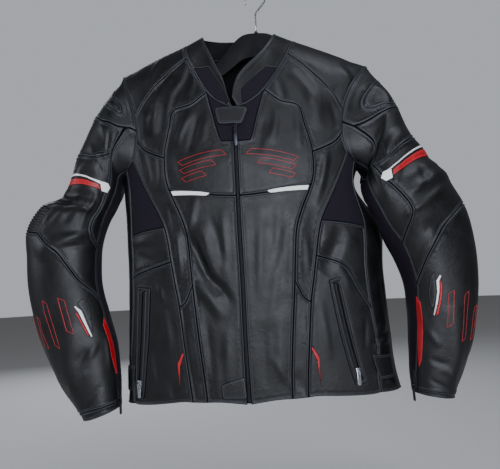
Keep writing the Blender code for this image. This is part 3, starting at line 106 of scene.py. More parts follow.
# Folds and creases: two ends, half width, how far out, and how far the middle bows sideways.
# The large folds are the solid's own.
#              round height  round height  half  out  bow
BODY_FOLDS = ((-26, -468, -10, -592, 28, -7, 0), (-18, -462, -12, -560, 24, 4, 0),
              (-31, -185, -33, -300, 30, 5, 0), (-41, -205, -41, -300, 24, -4, 0),
              (35, -195, 39, -300, 28, 4, 0), (47, -215, 50, -300, 22, -4, 0),
              (-24, -600, -20, -740, 30, 4, 0), (27, -430, 21, -600, 30, 4, 0),
              (48, -480, 36, -560, 28, -5, 0), (150, -330, 158, -520, 45, 6, 0),
              (-148, -340, -160, -540, 45, 6, 0), (128, -420, 118, -610, 40, -5, 0),
              (-130, -400, -116, -600, 40, -5, 0), (172, -560, 165, -740, 45, 5, 0))
BODY_CREASES = (
    # shoulders and yokes
    (-22, -150, -29, -222, 13, 3.4, 3), (-18, -176, -21, -232, 10, 2.0, 0),
    (-31, -170, -40, -236, 12, -3.4, -4),
    (-36, -206, -45, -266, 14, 2.6, 3), (-26, -205, -30, -262, 9, -1.8, 0),
    (-37, -140, -45, -196, 16, 2.4, 0),
    (24, -184, 36, -250, 15, 2.8, 4), (19, -200, 22, -246, 10, -1.8, 0), (45, -218, 51, -284, 13, 2.2, 0),
    (31, -170, 44, -215, 12, -2.4, -3), (50, -170, 62, -205, 16, 2.4, 0),
    # chest
    (-19, -255, -27, -318, 12, 2.8, -3), (-16, -262, -21, -336, 11, -2.6, 0),
    (-12, -258, -15, -318, 12, 1.8, 0),
    (-8, -330, -20, -352, 14, 1.4, 2), (-28, -330, -24, -392, 14, -1.4, 0), (18, -262, 15, -324, 12, 2.6, 2),
    (12, -272, 9, -345, 12, -2.0, 0), (27, -268, 28, -334, 11, 2.0, 0), (6, -350, 22, -372, 16, -1.2, 0),
    (-37, -318, -37, -392, 12, 2.2, 3), (-49, -305, -43, -382, 10, -2.6, 0), (42, -330, 33, -440, 13, 2.8, 4),
    (38, -345, 35, -400, 9, -1.6, 0),
    # fronts
    (-19, -414, -24, -488, 13, 1.8, 0), (-6.5, -436, -7, -560, 11, 1.7, 0),
    (-13, -446, -7, -540, 10, -1.4, 2),
    (-25, -476, -14, -566, 13, -5.0, 4), (-15, -556, -4, -612, 12, -4.2, 3),
    (-21, -566, -9, -634, 16, 4.2, 4),
    (-18, -500, -9, -572, 13, 3.2, -3), (-22, -530, -12, -600, 9, 1.6, 0),
    (-7, -650, -8.5, -748, 14, 1.8, 0), (-17, -636, -16, -734, 13, -1.6, 2),
    (-12, -700, -13, -770, 11, 1.2, 0), (9.8, -430, 6.6, -604, 13, 1.8, 0), (17, -424, 14, -552, 14, -1.8, 3),
    (20, -470, 11, -656, 14, 1.6, -3), (7.5, -640, 7, -758, 13, -1.6, 0), (15, -630, 13, -748, 15, 1.8, 2),
    (21, -732, 22, -772, 12, -1.4, 0), (10.5, -700, 18, -764, 11, 1.4, 0),
    # sides of the fronts, darts and pockets
    (-63, -492, -42, -487, 12, 2.2, 2), (-58, -512, -41, -529, 12, -1.8, 0),
    (-62, -536, -47, -532, 8, 1.2, 0),
    (-29.5, -482, -28, -556, 9, 2.6, 0), (-33, -420, -30, -474, 9, -1.6, 0),
    (-26, -632, -24, -726, 9, 1.6, 0),
    (-42, -566, -38, -600, 11, 1.8, 0), (-40, -600, -35, -690, 15, 1.6, 3),
    (-45, -684, -42, -752, 12, -1.6, 0),
    (-35, -742, -33, -774, 10, -1.3, 0), (-64, -660, -67, -740, 10, 1.6, 0), (36, -500, 59, -506, 13, 1.8, 3),
    (42, -535, 51, -590, 13, 1.6, 3), (34, -606, 36, -716, 13, 1.6, 0), (60, -646, 57, -700, 10, -1.4, 0),
    (29, -490, 29, -560, 9, 1.8, 0), (26, -630, 25, -730, 9, 1.4, 0), (64, -700, 86, -688, 9, 3.0, 4),
    (62, -690, 88, -676, 8, -2.6, 3), (66, -672, 84, -660, 10, 2.0, 3), (70, -762, 86, -768, 9, 2.2, 0),
    (84, -500, 88, -660, 12, 2.0, 0), (-84, -470, -88, -650, 14, 2.0, 0), (-80, -600, -92, -640, 11, -1.8, 2),
    (-78, -700, -100, -690, 12, 1.8, 3), (74, -400, 82, -470, 12, 1.8, 0),
    # back
    (148, -180, 140, -300, 16, 2.8, 3), (-146, -185, -138, -298, 15, 2.6, -3),
    (160, -150, 168, -270, 18, -2.2, 0),
    (-162, -160, -170, -290, 16, -2.0, 0), (176, -180, 178, -296, 14, 1.6, 0),
    (133, -250, 128, -330, 13, 2.8, 3),
    (-132, -255, -127, -336, 12, 2.6, 0), (120, -330, 140, -430, 14, 2.4, 6),
    (-118, -335, -142, -440, 15, 2.6, -6),
    (126, -350, 150, -470, 11, -2.2, 5), (-124, -355, -148, -480, 11, -2.2, -5),
    (170, -330, 150, -500, 18, 1.8, 5),
    (-172, -340, -156, -520, 16, 1.8, -5), (110, -520, 150, -556, 13, 2.4, 6),
    (-108, -530, -146, -562, 13, 2.4, 6),
    (114, -548, 146, -586, 11, -2.2, 5), (-112, -560, -150, -594, 10, -2.0, 5),
    (154, -580, -170, -600, 16, 0, 0),
    (160, -560, 176, -590, 13, 1.8, 3), (-158, -575, -174, -604, 12, 1.6, 3),
    (140, -620, 132, -760, 16, 2.0, 4),
    (-138, -640, -130, -766, 15, 2.0, 4), (166, -640, 172, -772, 14, -1.8, 0),
    (-160, -650, -164, -774, 14, 1.8, 0),
    (104, -640, 100, -756, 13, 1.8, 0), (-106, -650, -102, -760, 12, -1.8, 0))
FOLD_TAPER = 0.7

# Seams on the body, as (round, height) rows.
NECKLINE = ((0.8, -252), (4, -249), (9, -236), (12.5, -221), (16, -200), (19.5, -176), (23, -150),
            (25, -125), (25.8, ON_RIDGE), (158, -118), (168, -121), (180, -121))
PRINCESS = ((12.5, -221), (19.5, -243), (28.2, -254), (30.5, -285), (33, -320), (33.8, -341),
            (33.8, -375), (32.3, -400), (27, -446), (24.3, -480), (23.2, -530), (22.5, -571),
            (21.8, -600), (20.2, -662), (18, -750), (17.5, -779))
ZIP_EDGE = ((0.8, -252), (0.66, -317), (0.62, -416), (0.6, -600), (0.64, -700), (0.8, -785))
NECK_INSET_SEAM = ((12.5, -221), (9.5, -268), (6.6, -312), (4.5, -316), (0.66, -317))
CHEST_SEAM = ((32.3, -400), (14, -411), (0.62, -416))
SIDE_PIPING = ((45.7, -405), (36.4, -465), (33.2, -528), (31.5, -567), (29.4, -610), (27, -686),
               (24, -778))
SHOULDER_SEAM = ((23, -150), (34, -183), (42.4, -211))
YOKE_SEAM = ((33.8, -341), (46, -323))
DART_SEAM = ((22.5, -571), (26, -600), (29.4, -610))
STRETCH_HEM = ((36.4, -465), (52, -471), (63.3, -476))
POCKET_SEAM = {Side.RIGHT: ((33.2, -528), (48.5, -541), (57, -547), (63.9, -553)),
               Side.LEFT: ((33.2, -528), (48.5, -548), (57, -590), (65.3, -626))}
SIDE_SEAM = ((62.5, -391), (63.3, -476), (63.9, -553), (64.5, -590), (65.3, -626), (66.5, -655),
             (68, -700), (65, -740), (63.5, -780))
BACK_SHOULDER_SEAM = ((158, -118), (146, -183), (137.6, -211))
BACK_YOKE_SEAM = ((150, -304), (180, -306))
FRONT_HEM = ((0.8, -785), (9, -780.5), (17.5, -779), (24, -778), (30, -777), (46, -781), (63.5, -780))
BACK_HEM = ((63.5, -780), (90, -782), (125, -784), (180, -786))

# Armhole: psi goes from the shoulder ridge (0) by the front (90) to the underarm (180) and back.
#           psi round height
ARMHOLE = ((0, 80, ON_RIDGE), (25, 72, -178), (45, 61.5, -212), (65, 55, -250), (88, 52.2, -300),
           (110, 54.5, -332), (135, 62, -350), (158, 75, -359), (180, 90, -361))
PSI_SHOULDER = 70
PSI_YOKE = 90
PSI_PIPING = 120
PSI_SIDE = 140
PSI_BACK_YOKE = 270
PSI_BACK_SHOULDER = 290

# Sleeve sections: along, outer x y z, inner x y z, front and back half depth.
SLEEVE_SECTIONS = {
    Side.RIGHT: ((42, -275, 0, -195, -268, -4, -376, 66, 60), (95, -310, 0, -238, -272, -4, -394, 66, 62),
                 (165, -349, -2, -318, -280, -4, -411, 64, 62), (215, -373, -4, -387, -289, -6, -428, 64, 60),
                 (262, -421, -6, -412, -299, -8, -449, 62, 58), (307, -449, -8, -457, -310, -8, -483, 62, 56),
                 (352, -449, -10, -512, -314, -10, -514, 60, 55),
                 (403, -447, -12, -567, -314, -12, -560, 57, 52),
                 (463, -436, -14, -627, -300, -14, -617, 54, 50),
                 (522, -418, -16, -683, -286, -16, -673, 50, 46),
                 (581, -391, -19, -739, -281, -19, -731, 45, 42),
                 (645, -347, -22, -809, -281, -22, -787, 40, 38)),
    Side.LEFT: ((42, 234, -2, -204, 190, -14, -384, 60, 56), (95, 256, -6, -244, 182, -38, -404, 58, 44),
                (165, 279, -10, -309, 186, -60, -434, 56, 34), (215, 317, -12, -361, 198, -64, -462, 58, 34),
                (262, 348, -10, -411, 208, -58, -484, 62, 42), (307, 375, -8, -459, 222, -45, -510, 62, 54),
                (352, 387, -10, -521, 238, -36, -540, 60, 56), (403, 388, -14, -584, 253, -28, -582, 58, 54),
                (463, 382, -16, -640, 257, -24, -634, 55, 50), (522, 370, -18, -700, 256, -22, -698, 50, 46),
                (581, 347, -20, -754, 255, -20, -748, 45, 42), (636, 329, -22, -797, 257, -22, -784, 40, 38))}
SLEEVE_FLATNESS = 0.88
PSI_MM = 1.2
CUFF = {Side.RIGHT: 645.0, Side.LEFT: 636.0}
#    psi along  psi along  half  out  bow
SLEEVE_FOLDS = {
    Side.RIGHT: ((120, 195, 15, 236, 18, -6, 0), (115, 232, 30, 268, 16, 5, 0), (100, 130, 40, 205, 22, 5, 0),
                 (128, 300, 60, 345, 22, 5, 0), (-40, 200, -130, 232, 22, -5, 0),
                 (95, 470, 60, 600, 26, 4, 0)),
    Side.LEFT: ((112, 180, 5, 214, 18, -6, 0), (110, 222, 8, 246, 16, 5, 0), (105, 110, 45, 170, 22, 4, 0),
                (112, 300, 50, 330, 20, -5, 0), (-40, 190, -130, 226, 22, -5, 0),
                (90, 450, 60, 600, 26, 4, 0))}
SLEEVE_CREASES = {
    Side.RIGHT: (
        (20, 26, 14, 84, 16, 2.0, 0), (46, 90, 88, 68, 13, 2.2, 3), (92, 46, 104, 92, 10, -2.4, 0),
        (58, 132, 112, 112, 12, 2.0, 3), (74, 212, 122, 240, 10, 3.2, 3), (98, 222, 96, 286, 10, -3.2, 3),
        (22, 206, 96, 258, 12, 3.0, 5), (80, 258, 70, 292, 9, -2.8, 0), (114, 176, 122, 290, 9, 2.4, 3),
        (146, 292, 92, 316, 11, 2.6, 3), (136, 322, 86, 336, 9, -2.0, 3), (128, 512, 104, 544, 10, 2.2, 2),
        (108, 520, 86, 548, 9, -2.0, 0), (148, 490, 142, 566, 9, 1.8, 0), (78, 424, 36, 520, 15, 1.8, 4),
        (100, 560, 50, 600, 10, 2.0, 3), (120, 590, 70, 622, 9, -1.6, 0), (30, 560, 10, 620, 13, 1.8, 0),
        (-20, 60, -60, 150, 15, 2.4, 4), (-50, 160, -110, 196, 12, 2.6, 4),
        (-60, 184, -150, 214, 10, -2.4, 4),
        (-20, 220, -100, 262, 12, 2.8, 4), (-130, 240, -80, 290, 10, 2.2, 3),
        (-90, 330, -150, 380, 13, -2.4, 4),
        (-60, 350, -110, 460, 15, 2.4, 5), (-40, 480, -80, 590, 15, 2.2, 4),
        (-110, 520, -140, 600, 11, 1.8, 0),
        (170, 60, 190, 190, 13, 2.4, 4), (196, 150, 172, 270, 11, -2.2, 4), (186, 330, 178, 470, 12, 2.0, 3)),
    Side.LEFT: (
        (36, 14, 54, 70, 15, 2.0, 0), (134, 40, 137, 210, 13, 2.6, 3), (100, 60, 112, 150, 10, -2.0, 0),
        (92, 172, 128, 194, 12, 1.8, 3), (76, 200, 90, 238, 10, -2.8, 3), (56, 250, 134, 260, 11, 3.0, 4),
        (-12, 258, 70, 286, 11, 0, 0), (60, 228, 108, 226, 9, 2.0, 3), (119, 230, 127, 314, 10, 2.2, 0),
        (98, 304, 132, 368, 12, 2.4, 3), (134, 494, 103, 524, 10, 2.2, 2), (120, 546, 84, 560, 9, -1.8, 0),
        (144, 442, 133, 498, 9, 1.8, 0), (60, 410, 34, 520, 15, 1.8, 4), (96, 566, 46, 602, 10, 2.0, 3),
        (116, 590, 66, 618, 9, -1.6, 0), (24, 550, 6, 612, 13, 1.8, 0), (-16, 60, -56, 150, 15, 2.4, 4),
        (-46, 150, -108, 188, 12, 2.6, 4), (-70, 170, -150, 206, 10, -2.4, 4),
        (-118, 236, -150, 290, 10, 2.4, 3),
        (-90, 330, -150, 376, 13, -2.4, 4), (-60, 345, -108, 456, 15, 2.4, 5),
        (-40, 470, -80, 580, 15, 2.2, 4),
        (-110, 510, -140, 596, 11, 1.8, 0), (176, 60, 196, 190, 13, 2.4, 4),
        (200, 150, 176, 270, 11, -2.0, 4),
        (188, 330, 180, 470, 12, 2.0, 3))}

# Seams on the sleeve, as (psi, along) rows.
CAP_SEAM = {
    Side.RIGHT: ((82, 16), (84, 40), (66, 75), (30, 100), (0, 108), (-30, 104), (-60, 86), (-80, 48),
                 (-86, 13)),
    Side.LEFT: ((87.5, 12), (87, 24), (82, 40), (66, 74), (43, 100), (20, 110), (0, 112), (-30, 104),
                (-60, 86), (-80, 48), (-86, 13))}
SLEEVE_FRONT_SEAM = {
    Side.RIGHT: ((80, 0), (82, 16), (103, 38), (115, 66), (130, 120), (134, 184), (136, 235), (138, 286),
                 (164, 323)),
    Side.LEFT: ((80, 0), (87.5, 12), (110, 40), (129, 80), (127, 130), (124, 169), (118, 215), (117, 258),
                (133, 290), (151.5, 319))}
SLEEVE_BACK_SEAM = ((-80, 0), (-86, 13))
STRETCH_FRONT = {
    Side.RIGHT: ((150, 0), (154, 100), (158, 200), (164, 323), (162, 435), (160, 520)),
    Side.LEFT: ((150, 0), (157, 100), (162, 215), (160, 270), (151.5, 319), (149, 409), (153, 520))}
STRETCH_BACK = {
    Side.RIGHT: ((210, 0), (212, 100), (215, 321), (212, 500)),
    Side.LEFT: ((240, 0), (238, 60), (226, 160), (215, 321), (212, 500))}
STRETCH_CUFF = (160, 206)
ELBOW_SEAM = {
    Side.RIGHT: ((162, 435), (142, 414), (124, 396), (103, 361), (87, 332), (64, 308)),
    Side.LEFT: ((149, 409), (129, 374), (113, 346), (86, 311), (57, 295), (28, 293))}
ELBOW_BACK_SEAM = {
    Side.RIGHT: ((-70, 308), (-110, 314), (-145, 321)),
    Side.LEFT: ((-100, 293), (-125, 305), (-145, 321))}
RIB_PSI = {Side.RIGHT: (64, -70), Side.LEFT: (28, -100)}
RIB_ALONG = {Side.RIGHT: (260, 308), Side.LEFT: (247, 293)}

# Collar: for each row of the neckline, where the top edge runs (out from its middle, height, y).
COLLAR_TOP = ((4.5, -236, -79), (6.5, -216, -75), (14, -190, -68), (26, -170, -62), (39, -152, -56),
              (51, -133, -48), (61, -114, -38), (67, -98, -22), (71, -90, 6), (62, -85, 30), (38, -84, 43),
              (0, -84, 46))
COLLAR_MIDDLE = ((-84, -34), (-100, -36), (-140, -42), (-180, -53), (-236, -56))
COLLAR_RISE = 40.0

# What lies on the body, as (round, height) rows.
CHEST_STRIP = ((31.6, -401), (11.5, -409.5), (14.2, -414.5), (30.4, -410.5))
CHEVRON = ((27.6, -692), (28.2, -687), (31.3, -709), (30.3, -761), (29.8, -714))
SIDE_STRAP = ((61, -710), (83.2, -713), (82.3, -756), (64.5, -757))
COLLAR_TAB = ((-8.8, -256), (-7.6, -253.5), (4.6, -255), (5.6, -259), (3.3, -284), (2.4, -287),
              (-6.4, -286), (-7.4, -283))
HEM_TAB = ((-11.2, -748), (-1.2, -736), (-0.7, -774), (-10.9, -773))
POCKET_WELT = {
    Side.RIGHT: ((57.8, -570), (46.8, -573), (48.5, -665), (52.9, -770), (61.4, -764), (59.4, -665)),
    Side.LEFT: ((38.7, -573), (45.4, -568), (50.2, -665), (54.8, -759), (47.4, -762), (42.2, -665))}
POCKET_SLIT = {Side.RIGHT: ((52.2, -580), (54, -665), (57.2, -758)),
               Side.LEFT: ((42.2, -580), (46, -665), (50.9, -752))}

# Seams and rows that cross a piece without cutting it, as (round, height) or (psi, along) rows.
CROSS_SEAM = {
    Side.RIGHT: ((113, 58), (108, 66), (95, 104), (80, 138), (42, 161), (0, 168), (-50, 160), (-100, 150),
                 (-150, 146)),
    Side.LEFT: ((131, 96), (118, 122), (100, 140), (80, 155), (50, 168), (0, 172), (-50, 162), (-100, 150),
                (-150, 146))}
CAP_PATCH = {
    Side.RIGHT: ((68, 22), (70, 27), (66, 37), (54, 54), (36, 68), (14, 72), (-6, 64), (-8, 50), (8, 42),
                 (30, 42), (46, 37), (56, 26), (63, 21), (68, 22)),
    Side.LEFT: ((71, 21), (60, 20), (34, 30), (26, 33), (6, 40), (-16, 52), (-14, 78), (12, 92), (40, 88),
                (56, 76), (72, 38), (73.5, 28), (71, 21))}
BACK_PRINCESS = ((149, -304), (152, -400), (153, -500), (151, -620), (154, -786))
BACK_WAIST = ((152.5, -560), (166, -552), (180, -548))
PLAIN_STRIP = ((46, 136), (30, 139), (14, 139))


# Forms.

def table_at(rows: Rows, x: Array, columns: Sequence[int]) -> Array:
    """Smooth values of a table's columns.

    Args:
        rows: The table, sorted along its first column either way.
        x: Where to read it.
        columns: Which columns.

    Returns:
        One row for each x, one column for each asked.
    """
    table = np.array(rows, float)
    if table[0, 0] > table[-1, 0]:
        table = table[::-1]
    keys = table[:, 0]
    values = table[:, list(columns)]
    x = np.clip(np.asarray(x, float), keys[0], keys[-1])
    i = np.clip(np.searchsorted(keys, x) - 1, 0, len(keys) - 2)
    low = np.maximum(np.arange(len(keys)) - 1, 0)
    high = np.minimum(np.arange(len(keys)) + 1, len(keys) - 1)
    slopes = (values[high] - values[low]) / (keys[high] - keys[low])[:, None]
    span = (keys[i + 1] - keys[i])[:, None]
    return hermite((x - keys[i])[:, None] / span, span, values[i], slopes[i], values[i + 1], slopes[i + 1])


def hermite(f: Array, span: Array, a: Array, slope_a: Array, b: Array,
            slope_b: Array) -> Array:
    """Cubic between two values with their slopes, at shares f of the span."""
    return ((2 * f ** 3 - 3 * f ** 2 + 1) * a + (f ** 3 - 2 * f ** 2 + f) * span * slope_a
            + (3 * f ** 2 - 2 * f ** 3) * b + (f ** 3 - f ** 2) * span * slope_b)


def fold_height(rows: Rows, u: Array, v: Array, width: float) -> Array:
    """How far out the folds of a table stand at chart places.

    Args:
        rows: Fold rows: two ends, half width, how far out, bow.
        u: Degrees.
        v: Millimetres.
        width: Millimetres of one degree.

    Returns:
        Millimetres, one for each place.
    """
    total = np.zeros(len(u))
    for u0, v0, u1, v1, half, out, bow in rows:
        line = np.array(((u1 - u0) * width, v1 - v0))
        du = (u - u0) * width
        dv = v - v0
        f = (du * line[0] + dv * line[1]) / (line @ line)
        aside = (dv * line[0] - du * line[1]) / math.sqrt(line @ line) - bow * 4 * f * (1 - f)
        near = (f > 0) & (f < 1) & (np.abs(aside) < half)
        total[near] += (out * np.cos(math.pi / 2 * aside[near] / half) ** 2
                        * np.sin(math.pi * f[near]) ** FOLD_TAPER)
    return total


def ripple(u: Array, v: Array, seed: int, size: float) -> Array:
    """Soft unevenness of a hide, from a few crossing waves of about the given size in mm.

    Args:
        u: Millimetres across.
        v: Millimetres along.
        seed: Which set of waves.
        size: Millimetres of a usual wave.

    Returns:
        One value for each place, mostly between -1 and 1.
    """
    random = np.random.default_rng(seed)
    total = np.zeros(len(u))
    for _ in range(9):
        angle, phase = random.uniform(0, 2 * math.pi, 2)
        wave = size * random.uniform(0.6, 1.7)
        total += np.sin((u * math.cos(angle) + v * math.sin(angle)) * 2 * math.pi / wave + phase)
    return total / 9


def ridge_height(theta: Array) -> Array:
    """Height of the shoulder ridge at angles round the body."""
    return table_at(RIDGE, RIDGE_REACH * np.abs(np.sin(np.radians(theta))), (1,))[:, 0]


def down_from_height(theta: float, height: float) -> float:
    """Way down from the shoulder ridge over the rounding, for a height.

    Args:
        theta: Degrees round the body.
        height: Height in mm, or ON_RIDGE.

    Returns:
        Millimetres down from the ridge.
    """
    if height == ON_RIDGE:
        return 0.0
    drop = max(float(ridge_height(np.array([theta]))[0]) - height, 0.0)
    if drop < SHOULDER_RADIUS:
        return SHOULDER_RADIUS * math.acos(1 - drop / SHOULDER_RADIUS)
    return SHOULDER_RADIUS * (math.pi / 2 - 1) + drop


def body_heights(theta: Array, down: Array) -> tuple[Array, Array]:
    """Heights of places on the body, and how full the body is there over the shoulders' rounding.

    Args:
        theta: Degrees round the body.
        down: Millimetres down from the shoulder ridge.

    Returns:
        Heights in mm, and shares from 0 at the ridge to 1 below the rounding.
    """
    angle = np.minimum(down / SHOULDER_RADIUS, math.pi / 2)
    drop = np.where(down < SHOULDER_RADIUS * math.pi / 2, SHOULDER_RADIUS * (1 - np.cos(angle)),
                    down - SHOULDER_RADIUS * (math.pi / 2 - 1))
    return ridge_height(theta) - drop, np.sin(angle)


def body_points(theta: Array, down: Array) -> Array:
    """Places on the body form, in mm, by the angle round it and the way down from the ridge.

    Args:
        theta: Degrees round the body.
        down: Millimetres down from the shoulder ridge.

    Returns:
        One row of x, y and z for each place.
    """
    height, fullness = body_heights(theta, down)
    centre, half_r, half_l, front, back, lean, press = table_at(BODY_SECTIONS, height, range(1, 8)).T
    angle = np.radians(theta)
    sine = np.sin(angle)
    cosine = np.cos(angle)
    power = np.where(cosine > 0, PRESS_FRONT, PRESS_BACK)
    across = np.where(sine > 0, half_l * sine - press * np.abs(sine) ** power, half_r * sine)
    depth = np.copysign(np.abs(cosine) ** BODY_FLATNESS, cosine) * fullness
    turned = (theta + 180) % 360 - 180
    fold = (fold_height(BODY_FOLDS, turned, height, ROUND_MM)
            * np.copysign(np.minimum(np.abs(depth) * 1.6, 1), depth))
    return np.stack((centre + across - lean * depth, -np.where(depth > 0, front, back) * depth - fold,
                     height), axis=1)


class Form:
    """A surface that a flat chart in millimetres is laid over."""

    outward = 1

    def points(self, u: Array, v: Array) -> Array:
        """Places in mm, one row for each chart place."""
        raise NotImplementedError

    def relief(self, u: Array, v: Array) -> Array:
        """How far the creases stand out."""
        return np.zeros(len(u))

    def normals(self, u: Array, v: Array, reach: float = 1.5) -> Array:
        """Outward directions at chart places.

        Args:
            u: Chart places across, in mm.
            v: Chart places down or along, in mm.
            reach: Millimetres to either side that the slope is read over.

        Returns:
            Unit vectors, one row for each place.
        """
        along_u = self.points(u + reach, v) - self.points(u - reach, v)
        along_v = self.points(u, v + reach) - self.points(u, v - reach)
        normal = np.cross(along_v, along_u) * self.outward
        return normal / np.maximum(np.linalg.norm(normal, axis=1), 1e-9)[:, None]

    def place(self, chart: Array, lift: Array | float = 0.0) -> Array:
        """Places of chart points, lifted off the creased surface.

        Args:
            chart: Chart points.
            lift: Millimetres outward, one for all or one for each.

        Returns:
            Places in mm.
        """
        u, v = chart[:, 0], chart[:, 1]
        return self.points(u, v) + self.normals(u, v) * (lift + self.relief(u, v))[:, None]


class OverShoulder(Form):
    """Body chart that crosses the shoulder ridge: v is positive at the front, negative at the back."""

    def spread(self, u: Array, v: Array) -> tuple[Array, Array]:
        """Angle round the body and the way down of chart places."""
        theta = u / ROUND_MM
        return np.where(v >= 0, theta, np.copysign(180, theta) - theta), np.abs(v)

    def points(self, u: Array, v: Array) -> Array:
        """Places in mm."""
        return body_points(*self.spread(u, v))

    def relief(self, u: Array, v: Array) -> Array:
        """Creases of the body and the hide's own unevenness, calm beside the front zip.

        Args:
            u: Chart places across, in mm.
            v: Chart places down or along, in mm.

        Returns:
            Millimetres outward, one for each place.
        """
        theta, down = self.spread(u, v)
        height, _ = body_heights(theta, down)
        turned = (theta + 180) % 360 - 180
        calm = np.clip((np.abs(turned) - 2.5) / 5, 0, 1)
        return (fold_height(BODY_CREASES, turned, height, ROUND_MM)
                + 0.7 * ripple(turned * ROUND_MM, height, 5, 70)) * calm


class AroundBack(OverShoulder):
    """Body chart that goes round the side: u runs on past the side seam to the back."""

    def spread(self, u: Array, v: Array) -> tuple[Array, Array]:
        """Angle round the body and the way down of chart places."""
        return u / ROUND_MM, np.maximum(v, 0)


def armhole_places(side: Side, psi: Array) -> tuple[Array, Array]:
    """Angle round the body and the way down of places on the armhole.

    Args:
        side: The wearer's side.
        psi: Degrees round the sleeve.

    Returns:
        Degrees round the body and millimetres down from the ridge.
    """
    front = [(p, r, down_from_height(r, h)) for p, r, h in ARMHOLE]
    loop = front + [(360 - p, 180 - r, d) for p, r, d in front[-2::-1]]
    theta, down = table_at(loop, psi % 360, (1, 2)).T
    return side.value * theta, np.maximum(down, 0)


class Sleeve(Form):
    """Sleeve chart: psi round it times PSI_MM, and the way down from the armhole."""

    def __init__(self, side: Side) -> None:
        """Form of one side's sleeve.

        Args:
            side: The wearer's side.
        """
        self.side = side
        self.outward = -side.value
        self.sections = SLEEVE_SECTIONS[side]

    def section(self, row: Sequence[float], cosine: Array, sine: Array) -> Array:
        """Places of one section at angles psi.

        Args:
            row: A row of SLEEVE_SECTIONS.
            cosine: Cosines of psi.
            sine: Sines of psi.

        Returns:
            Places in mm, one row for each angle.
        """
        outer = np.array(row[1:4], float)
        inner = np.array(row[4:7], float)
        half = (outer - inner) / 2
        across = half / np.linalg.norm(half)
        back = np.array((0, 1, 0)) - across * across[1]
        back /= np.linalg.norm(back)
        depth = np.where(sine > 0, row[7], row[8])
        wide = np.copysign(np.abs(cosine) ** SLEEVE_FLATNESS, cosine)
        deep = np.copysign(np.abs(sine) ** SLEEVE_FLATNESS, sine) * depth
        return (outer + inner) / 2 + half * wide[:, None] - back * deep[:, None]

    def points(self, u: Array, v: Array) -> Array:
        """Places in mm.

        Args:
            u: Chart places across, in mm.
            v: Chart places down or along, in mm.

        Returns:
            One row of x, y and z for each place.
        """
        psi = u / PSI_MM
        start = body_points(*armhole_places(self.side, psi))
        cosine = np.cos(np.radians(psi))
        sine = np.sin(np.radians(psi))
        rings = np.stack([start] + [self.section(row, cosine, sine) for row in self.sections])
        keys = np.array([0.0] + [row[0] for row in self.sections])
        n = len(keys)
        low = np.maximum(np.arange(n) - 1, 0)
        high = np.minimum(np.arange(n) + 1, n - 1)
        slopes = (rings[high] - rings[low]) / (keys[high] - keys[low])[:, None, None]
        along = np.clip(np.abs(v), 0, keys[-1])
        i = np.clip(np.searchsorted(keys, along) - 1, 0, n - 2)
        k = np.arange(len(u))
        span = (keys[i + 1] - keys[i])[:, None]
        place = hermite((along - keys[i])[:, None] / span, span, rings[i, k], slopes[i, k],
                        rings[i + 1, k], slopes[i + 1, k])
        place = np.where((v < 0)[:, None], start * 2 - place, place)
        fold = fold_height(SLEEVE_FOLDS[self.side], (psi + 180) % 360 - 180, v, PSI_MM)
        ends = table_at(self.sections, v, range(1, 7))
        out = place - (ends[:, :3] + ends[:, 3:]) / 2
        return place + out / np.linalg.norm(out, axis=1)[:, None] * fold[:, None]

    def relief(self, u: Array, v: Array) -> Array:
        """Creases of the sleeve and the hide's own unevenness.

        Args:
            u: Chart places across, in mm.
            v: Chart places down or along, in mm.

        Returns:
            Millimetres outward, one for each place.
        """
        psi = (u / PSI_MM + 180) % 360 - 180
        behind = np.where(psi < 0, psi + 360, psi)
        rows = SLEEVE_CREASES[self.side]
        inner = [row for row in rows if max(row[0], row[2]) > 180]
        outer = [row for row in rows if max(row[0], row[2]) <= 180]
        start = np.clip(v / 12, 0, 1)
        return start * (fold_height(outer, psi, v, PSI_MM) + fold_height(inner, behind, v, PSI_MM)
                        + 0.7 * ripple(np.abs(psi) * PSI_MM, v, 9 + self.side.value, 60))


class Collar(Form):
    """Collar chart: u from the back centre to the wearer's left (+) and right (-), v up the collar."""

    def __init__(self) -> None:
        """Rows from the back centre to the front ends of the neckline."""
        self.rows: list[tuple[float, ...]] = []
        length = 0.0
        before = None
        for (theta, height), top in zip(NECKLINE[::-1], COLLAR_TOP[::-1]):
            chart = to_over([(theta, height)])
            base = OVER.points(chart[:, 0], chart[:, 1])[0]
            if before is not None:
                length += float(np.linalg.norm(base - before))
            before = base
            self.rows.append((length, *chart[0], *top))
        self.half = length

    def points(self, u: Array, v: Array) -> Array:
        """Places in mm.

        Args:
            u: Chart places across, in mm.
            v: Chart places down or along, in mm.

        Returns:
            One row of x, y and z for each place.
        """
        side = np.where(u >= 0, 1, -1)
        x, y, out, height, depth = table_at(self.rows, np.abs(u), range(1, 6)).T
        base = OVER.points(side * x, y)
        middle = table_at(COLLAR_MIDDLE, height, (1,))[:, 0]
        top = np.stack((middle + side * out, depth, height), axis=1)
        return base + (top - base) * (v / COLLAR_RISE)[:, None]

    def relief(self, u: Array, v: Array) -> Array:
        """The collar's own soft waves, up to the roll at its top."""
        return 0.8 * ripple(u, v, 3, 60) * np.clip(v / 10, 0, 1)


OVER = OverShoulder()
AROUND = AroundBack()
SLEEVES = {side: Sleeve(side) for side in Side}


def to_over(rows: Rows, side: int = 1) -> Array:
    """Chart places over the shoulder of (round, height) rows, mirrored for side -1.

    Args:
        rows: Angle round the body and height in mm.
        side: -1 for the right, 1 for the left.

    Returns:
        Chart points.
    """
    chart = []
    for theta, height in rows:
        down = down_from_height(theta, height)
        back = abs(theta) > 90
        chart.append((side * (180 - theta if back else theta) * ROUND_MM, -down if back else down))
    return np.array(chart)


def over_to_around(chart: Array) -> Array:
    """Chart places round the back of ones over the shoulder."""
    u, v = chart[:, 0], chart[:, 1]
    return np.stack((np.where(v < 0, np.copysign(180 * ROUND_MM, u) - u, u), np.abs(v)), axis=1)


COLLAR = Collar()


